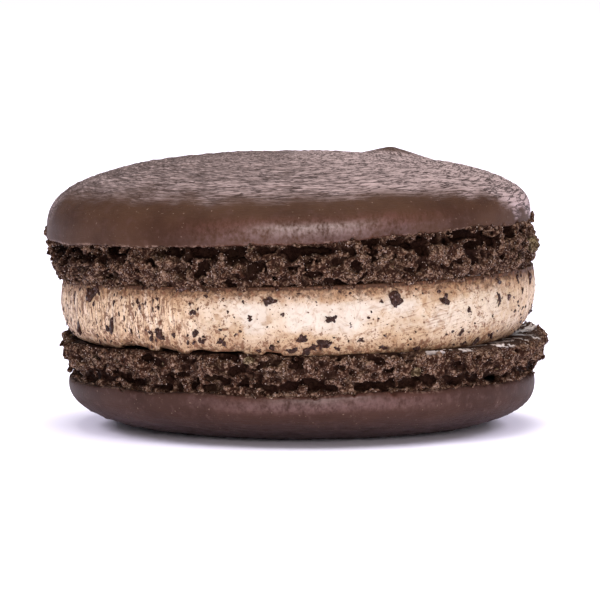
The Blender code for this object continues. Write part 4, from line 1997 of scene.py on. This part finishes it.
FRONT_CRUMBS = tuple(Crumb(*row) for row in (
    (8.6, 13.1, 1.2, 1.6), (12.9, 13.1, 0.9, 1.15), (2.8, 11.75, 1.2, 0.9), (-2.85, 13.05, 0.95, 0.7),
    (-12.9, 10.0, 1.0, 0.8), (-9.6, 10.0, 0.7, 0.65), (18.1, 12.7, 0.4, 1.2), (-19.05, 13.2, 1.4, 1.9),
    (-17.6, 10.1, 0.7, 0.5), (2.1, 9.3, 1.3, 0.7), (21.5, 10.9, 0.8, 0.7), (-13.7, 9.8, 0.5, 0.7),
    (-4.5, 11.7, 0.6, 0.5), (-5.2, 13.0, 0.4, 0.35), (15.1, 12.0, 0.5, 0.45), (4.4, 11.1, 0.5, 0.35),
    (18.9, 12.8, 0.5, 0.6), (10.7, 8.75, 0.8, 0.4), (1.2, 9.1, 0.7, 0.5), (5.4, 9.7, 0.6, 0.4),
    (14.6, 10.0, 0.4, 0.7), (-6.5, 12.1, 0.35, 0.35), (-7.05, 9.25, 0.8, 0.75), (-8.9, 9.1, 0.4, 0.4),
    (0.6, 8.85, 1.0, 0.6), (-0.9, 8.75, 0.8, 0.5), (-2.6, 8.8, 0.6, 0.5), (-3.7, 8.75, 0.5, 0.4),
    (3.3, 8.95, 0.6, 0.4), (7.7, 8.9, 0.5, 0.3), (-11.6, 9.7, 0.5, 0.5), (-1.6, 12.0, 0.35, 0.3),
    (-12.7, 9.3, 0.6, 0.5), (-10.7, 14.1, 1.0, 0.5), (-13.6, 14.3, 0.8, 0.4), (19.9, 14.3, 0.3, 1.1),
    (20.3, 13.0, 0.25, 0.7), (19.8, 12.0, 0.25, 0.5), (16.6, 9.15, 1.1, 0.45), (17.9, 9.5, 0.9, 0.5),
    (15.3, 8.9, 0.7, 0.35),
))


@dataclass
class CrumbScatter(Piece):
    """Cookie crumbs of one size, spread over the cream's side as one piece."""

    FACETED = True

    cream: CreamFilling
    count: int
    longest: float
    shortest: float
    subdivisions: int
    proud: float = 0.28
    jitter: float = 0.22
    depth_share: float = 0.75
    cuts: int = 9  # flat breaks on each crumb
    cut_at: Pair = (0.22, 0.42)  # how far from its middle they are
    spread: float = 0.3  # how far a placed crumb's lumps lie apart, as a share of its size
    parts: int = 3  # lumps to each placed crumb
    least: float = 0.15  # how many of the crumbs stay where the cream is cleanest
    placed: tuple[Crumb, ...] = ()

    def broken(self, points: Array, number: int) -> Array:
        """Gives a ball the uneven, angular shape of a broken crumb.

        Args:
            points: the ball's points.
            number: the crumb's number, which picks its shape.

        Returns:
            The moved points.
        """
        draws = np.random.default_rng(self.seed * 10000 + number)
        moved = points.copy()
        for _ in range(self.cuts):
            facing = draws.normal(size=3)
            facing /= np.linalg.norm(facing)
            over = np.clip(moved @ facing - draws.uniform(*self.cut_at), 0, None)
            moved -= over[:, None] * facing
        shifted = moved + number * 7.31
        coarse = self.grain(shifted, 0.5)
        fine = self.grain(shifted, 0.2, 1)
        return moved * (1 + 2.0 * self.jitter * coarse + 0.5 * self.jitter * fine)[:, None]

    def spot(self, angle: float, share: float) -> Array:
        """The place on the cream's side at this angle and share of its height."""
        return self.cream.place(np.array(angle), np.array(share))

    def density(self, angle: float, share: float) -> float:
        """How likely the cream is to hold a crumb at this angle and share of its height."""
        return mix(self.least, 1.0, float(self.cream.speckling(np.array(share), self.spot(angle, share))))

    def along_drag(self, angle: float, share: float, draws: random.Random) -> Pair:
        """How long and how far tilted a crumb is, after the way in which the cream was dragged.

        Args:
            angle: about Z of its place.
            share: of the cream's height.
            draws: source of random values.

        Returns:
            Its height for its width, and its lean in radians.
        """
        point = self.spot(angle, share)
        upright = float(self.cream.uprightness(point))
        slanted = float(self.cream.slantedness(point))
        tall = mix(draws.uniform(0.6, 1.0), draws.uniform(1.2, 3.0), upright)
        tall = mix(tall, draws.uniform(0.35, 0.8), slanted * 0.7)
        lean = draws.uniform(-0.5, 0.5) * (1 - upright * 0.7) - 0.35 * slanted
        return tall, lean

    def one(
        self, ball: Array, number: int, angle: float, share: float, size: Pair, lean: float
    ) -> Array:
        """Points of one crumb where it sits in the cream.

        Args:
            ball: points of a ball one across.
            number: the crumb's number.
            angle: about Z of its place.
            share: of the cream's height.
            size: its width and height.
            lean: its turn about the outward axis.

        Returns:
            The points.
        """
        wide, tall = size
        thick = min(wide, tall) * self.depth_share
        points = self.broken(ball, number) / self.cut_at[1] * 0.5 * (thick, wide, tall)
        cos, sin = math.cos(lean), math.sin(lean)
        leaning = np.array([[1, 0, 0], [0, cos, -sin], [0, sin, cos]])
        cos, sin = math.cos(angle), math.sin(angle)
        facing = np.array([[cos, -sin, 0], [sin, cos, 0], [0, 0, 1]])
        middle = self.spot(angle, share) + round_points(1.0, angle, 0.0) * thick * (self.proud - 0.5)
        return points @ leaning.T @ facing.T + middle

    def mesh(self) -> Mesh:
        """Makes the piece's mesh.

        Returns:
            Its points, faces and values.
        """
        ball, faces = ball_mesh(self.subdivisions)
        draws = random.Random(self.seed)
        bodies = []
        cream = self.cream
        for crumb in self.placed:
            for part in range(self.parts):
                away = self.spread * min(part, 1)
                right = crumb.across + crumb.wide * draws.uniform(-away, away)
                up = crumb.height + crumb.tall * draws.uniform(-away, away)
                across = min(max((right - cream.centre_x) / cream.radius, -1.0), 1.0)
                share = cream.share_of_height(right, up)
                size = draws.uniform(0.55, 0.85) if part else 1.0
                lean = draws.uniform(-0.9, 0.9)
                size = (crumb.wide * size, crumb.tall * size)
                bodies.append(self.one(ball, len(bodies), -math.acos(across), share, size, lean))
        for number in range(self.count):
            angle = number * GOLDEN_ANGLE + draws.uniform(-0.4, 0.4)
            share = draws.uniform(0.06, 0.96)
            if draws.random() > self.density(angle, share):
                continue
            wide = mix(self.longest, self.shortest, (number / self.count) ** 0.6)
            tall, lean = self.along_drag(angle, share, draws)
            wide = wide / max(tall, 1.0) ** 0.5
            bodies.append(self.one(ball, len(bodies), angle, share, (wide, wide * tall), lean))
        return copies(bodies, faces)


@dataclass
class GrainScatter(Piece):
    """Small grains stuck to a finished piece, as one piece."""

    host: Object
    count: int
    longest: float
    shortest: float
    subdivisions: int = 1
    sink: float = 0.15
    out_from: float = 21.4  # distance from the axis beyond which they lie

    def mesh(self) -> Mesh:
        """Makes the piece's mesh.

        Returns:
            Its points, faces and values.
        """
        host = self.host.data
        places, normals = np.empty((2, len(host.vertices) * 3), np.float32)
        host.vertices.foreach_get("co", places)
        host.vertex_normals.foreach_get("vector", normals)
        places, normals = places.reshape(-1, 3) / MM, normals.reshape(-1, 3)
        outer = np.nonzero(off_axis(places) > self.out_from)[0]
        draws = random.Random(self.seed)
        shape, faces = ball_mesh(self.subdivisions)
        bodies = []
        for _ in range(self.count):
            at = outer[draws.randrange(len(outer))]
            size = mix(self.longest, self.shortest, draws.random() ** 0.5)
            uneven = np.array([draws.uniform(0.6, 1.3) for _ in range(3)]) * size
            jitter = np.array([[draws.uniform(0.75, 1.2)] for _ in range(len(shape))])
            bodies.append(shape * jitter * uneven + places[at] + normals[at] * size * self.sink)
        return copies(bodies, faces)


@dataclass(frozen=True)
class Scrap:
    """One torn bit: its middle and its size along X, Y and Z."""

    place: Place
    size: Place


@dataclass
class TornScraps(Piece):
    """Torn bits that stand out of a foot at known places, as one piece."""

    scraps: tuple[Scrap, ...]
    subdivisions: int = 4
    lump_size: float = 0.42
    lump_relief: float = 0.3

    def mesh(self) -> Mesh:
        """Makes the piece's mesh.

        Returns:
            Its points, faces and values.
        """
        ball, faces = ball_mesh(self.subdivisions)
        bodies = []
        for scrap in self.scraps:
            bit = ball * scrap.size + scrap.place
            lumps = lump_noise(bit, self.lump_size, self.seed) - 0.5
            soft = self.grain(bit, 0.9, 1)
            bodies.append(bit - ball * 2 * (self.lump_relief * lumps + 0.15 * soft)[:, None])
        return copies(bodies, faces)


UPPER_SCRAPS = (
    Scrap((-23.5, -1.0, 18.05), (0.8, 1.3, 1.3)),
    Scrap((-23.1, -2.6, 17.2), (1.0, 1.6, 0.9)),
    Scrap((21.45, -1.0, 19.45), (0.5, 0.8, 1.1)),
)
UPPER_CHIPS = (
    Scrap((21.35, -5.6, 17.25), (1.15, 1.5, 1.35)),
)
LOWER_CHIPS = (
    Scrap((10.3, -20.25, 6.75), (0.85, 0.55, 0.8)),
    Scrap((-4.7, -22.1, 7.9), (0.9, 0.35, 0.7)),
)


# ---- Studio ----


@dataclass(frozen=True)
class Panel:
    """A rectangular light: its middle, its radiance (1 shows as white), its width and height, its colour."""

    name: str
    where: Place
    brightness: float
    size: Pair = (0.7, 0.4)
    colour: Colour = (0.90, 0.86, 1.0)
    table_only: bool = True


@dataclass
class Studio:
    """A white table, soft light from above and the front, and the camera. Lengths in metres."""

    image_width: int = 600
    focal_pixels: float = 5160.0
    camera_at: Place = (-0.0001, -0.480, 0.05044)
    aim: Place = (-0.0001, 0.0, 0.0116)
    sensor: float = 36.0
    floor_rings: tuple[float, ...] = (0.1, 0.5, 1.5, 6.0)
    floor_segments: int = 96
    world_light: float = 0.36
    world_colour: Colour = (0.985, 0.965, 1.0)
    sun_strength: float = 2.5
    sun_angle: float = 34.0
    sun_colour: Colour = (1.0, 0.985, 0.965)
    sun_at: Place = (0.02, 0.02, 1.0)
    panels: tuple[Panel, ...] = (
        Panel("softbox", (0.16, -0.9, 0.2), 7.6, (0.8, 0.26), (1.0, 0.90, 0.885), False),
        Panel("left_fill", (-0.72, 0.25, 0.6), 8.75),
        Panel("right_fill", (0.72, 0.25, 0.6), 8.4),
        Panel("front_fill", (0.0, -0.45, 0.85), 0.7),
    )
    clip: Pair = (0.01, 50.0)

    def floor(self, material: Material) -> Object:
        """Makes the table top as a disc of rings.

        Args:
            material: its finish.

        Returns:
            The object.
        """
        count = self.floor_segments
        angle = even_angles(count)
        points = np.concatenate([round_points(radius / MM, angle, 0.0) for radius in self.floor_rings])
        points = np.concatenate([points, np.zeros((1, 3))])
        rings = [np.arange(count) + k * count for k in range(len(self.floor_rings))]
        faces = [ring_faces(outer, inner) for inner, outer in zip(rings[:-1], rings[1:])]
        faces.append(np.stack([rings[0], np.roll(rings[0], -1), np.full(count, len(points) - 1)], 1))
        piece = make_piece("table_top", points, faces, {})
        piece.data.materials.append(material)
        return piece

    def world(self) -> None:
        """Fills the room with even white light."""
        world = bpy.data.worlds.new("studio")
        world.use_nodes = True
        background = world.node_tree.nodes["Background"]
        background.inputs["Color"].default_value = (*self.world_colour, 1.0)
        background.inputs["Strength"].default_value = self.world_light
        bpy.context.scene.world = world

    def lamps(self, floor: Object) -> None:
        """Hangs the soft light overhead, a softbox at the front right, and low fills for the table.

        Args:
            floor: the table top, which alone the low fills light.
        """
        sun = bpy.data.lights.new("overhead", "SUN")
        sun.energy = self.sun_strength
        sun.angle = math.radians(self.sun_angle)
        sun.color = self.sun_colour
        self.hang("overhead", sun, self.sun_at)
        for panel in self.panels:
            lamp = bpy.data.lights.new(panel.name, "AREA")
            lamp.shape = "RECTANGLE"
            lamp.size, lamp.size_y = panel.size
            lamp.energy = panel.brightness * math.pi * panel.size[0] * panel.size[1]
            lamp.color = panel.colour
            hung = self.hang(panel.name, lamp, panel.where)
            if panel.table_only:
                lit = bpy.data.collections.new(panel.name)
                lit.objects.link(floor)
                hung.light_linking.receiver_collection = lit

    def hang(self, name: str, lamp: bpy.types.Light, where: Place) -> Object:
        """Puts a lamp at a place, pointing at the macaron.

        Args:
            name: its object's name.
            lamp: the lamp.
            where: the place.

        Returns:
            Its object.
        """
        piece = bpy.data.objects.new(name, lamp)
        piece.location = where
        piece.rotation_euler = (-Vector(where)).to_track_quat("-Z", "Y").to_euler()
        bpy.context.scene.collection.objects.link(piece)
        return piece

    def camera(self) -> None:
        """Sets up the camera of the front view."""
        data = bpy.data.cameras.new("camera")
        data.sensor_width = self.sensor
        data.lens = self.focal_pixels / self.image_width * self.sensor
        data.clip_start, data.clip_end = self.clip
        piece = bpy.data.objects.new("camera", data)
        piece.location = self.camera_at
        way = Vector(self.aim) - Vector(self.camera_at)
        piece.rotation_euler = way.to_track_quat("-Z", "Y").to_euler()
        bpy.context.scene.collection.objects.link(piece)
        bpy.context.scene.camera = piece

    def build(self) -> None:
        """Sets the studio up."""
        floor = self.floor(PaleFloor().material())
        self.world()
        self.lamps(floor)
        self.camera()
        bpy.context.scene.view_settings.view_transform = "Standard"


def main() -> None:
    """Builds and dresses the macaron, piece by piece."""
    logging.basicConfig(level=logging.INFO, format="%(message)s")
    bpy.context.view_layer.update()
    Studio().build()
    skin = BakedSkin().material()
    torn = TornCrumb().material()
    # painted shade: the lower skin's dusting paints its underside dark and bluish
    dust = {"dusted_with_painted_light": 0.75, "dust_and_painted_light_rise": (0.35, 0.95)}
    lower_skin = CookieSkin("lower_skin", "lower_cookie", 21, LOWER, 0.24, 640, swell=0.03, **dust)
    lower_skin.build(LOWER_BAKED_SKIN.material())
    lower_foot = SpongyFoot("lower_foot", "lower_cookie", 31, LOWER, ripple=0.42, lip_grains=0)
    lower_foot = lower_foot.build(LOWER_TORN_CRUMB_PAINTED_LIGHTER.material())
    cream = CreamFilling()
    cream.build(WhippedCream().material())
    crumb = CookieCrumb().material()
    slot = cream.slot
    large = CrumbScatter("large_crumbs", slot, 11, cream, 22, 1.1, 0.6, 3, jitter=0.36, placed=FRONT_CRUMBS)
    large.build(crumb)
    CrumbScatter("small_crumbs", slot, 12, cream, 460, 0.52, 0.24, 2).build(crumb)
    CrumbScatter("specks", slot, 13, cream, 2600, 0.24, 0.08, 1).build(SPECK.material())
    upper_foot = SpongyFoot("upper_foot", "upper_cookie", 41, UPPER).build(torn)
    CookieSkin("upper_skin", "upper_cookie", 51, UPPER, dust_and_painted_light_lean=0.13).build(skin)
    TornScraps("upper_scraps", "upper_cookie", 81, UPPER_SCRAPS).build(torn)
    sugar = SugarGrain().material()
    chip = ALMOND_CRUMB.material()
    TornScraps("upper_chips", "upper_cookie", 82, UPPER_CHIPS).build(chip)
    TornScraps("lower_chips", "lower_cookie", 83, LOWER_CHIPS).build(chip)
    for number, (foot, slot) in enumerate(((lower_foot, "lower_cookie"), (upper_foot, "upper_cookie"))):
        GrainScatter(f"{slot}_almond", slot, 61 + number, foot, 24, 0.36, 0.16).build(chip)
        GrainScatter(f"{slot}_sugar", slot, 71 + number, foot, 1300, 0.15, 0.06).build(sugar)


if __name__ == "__main__":
    main()
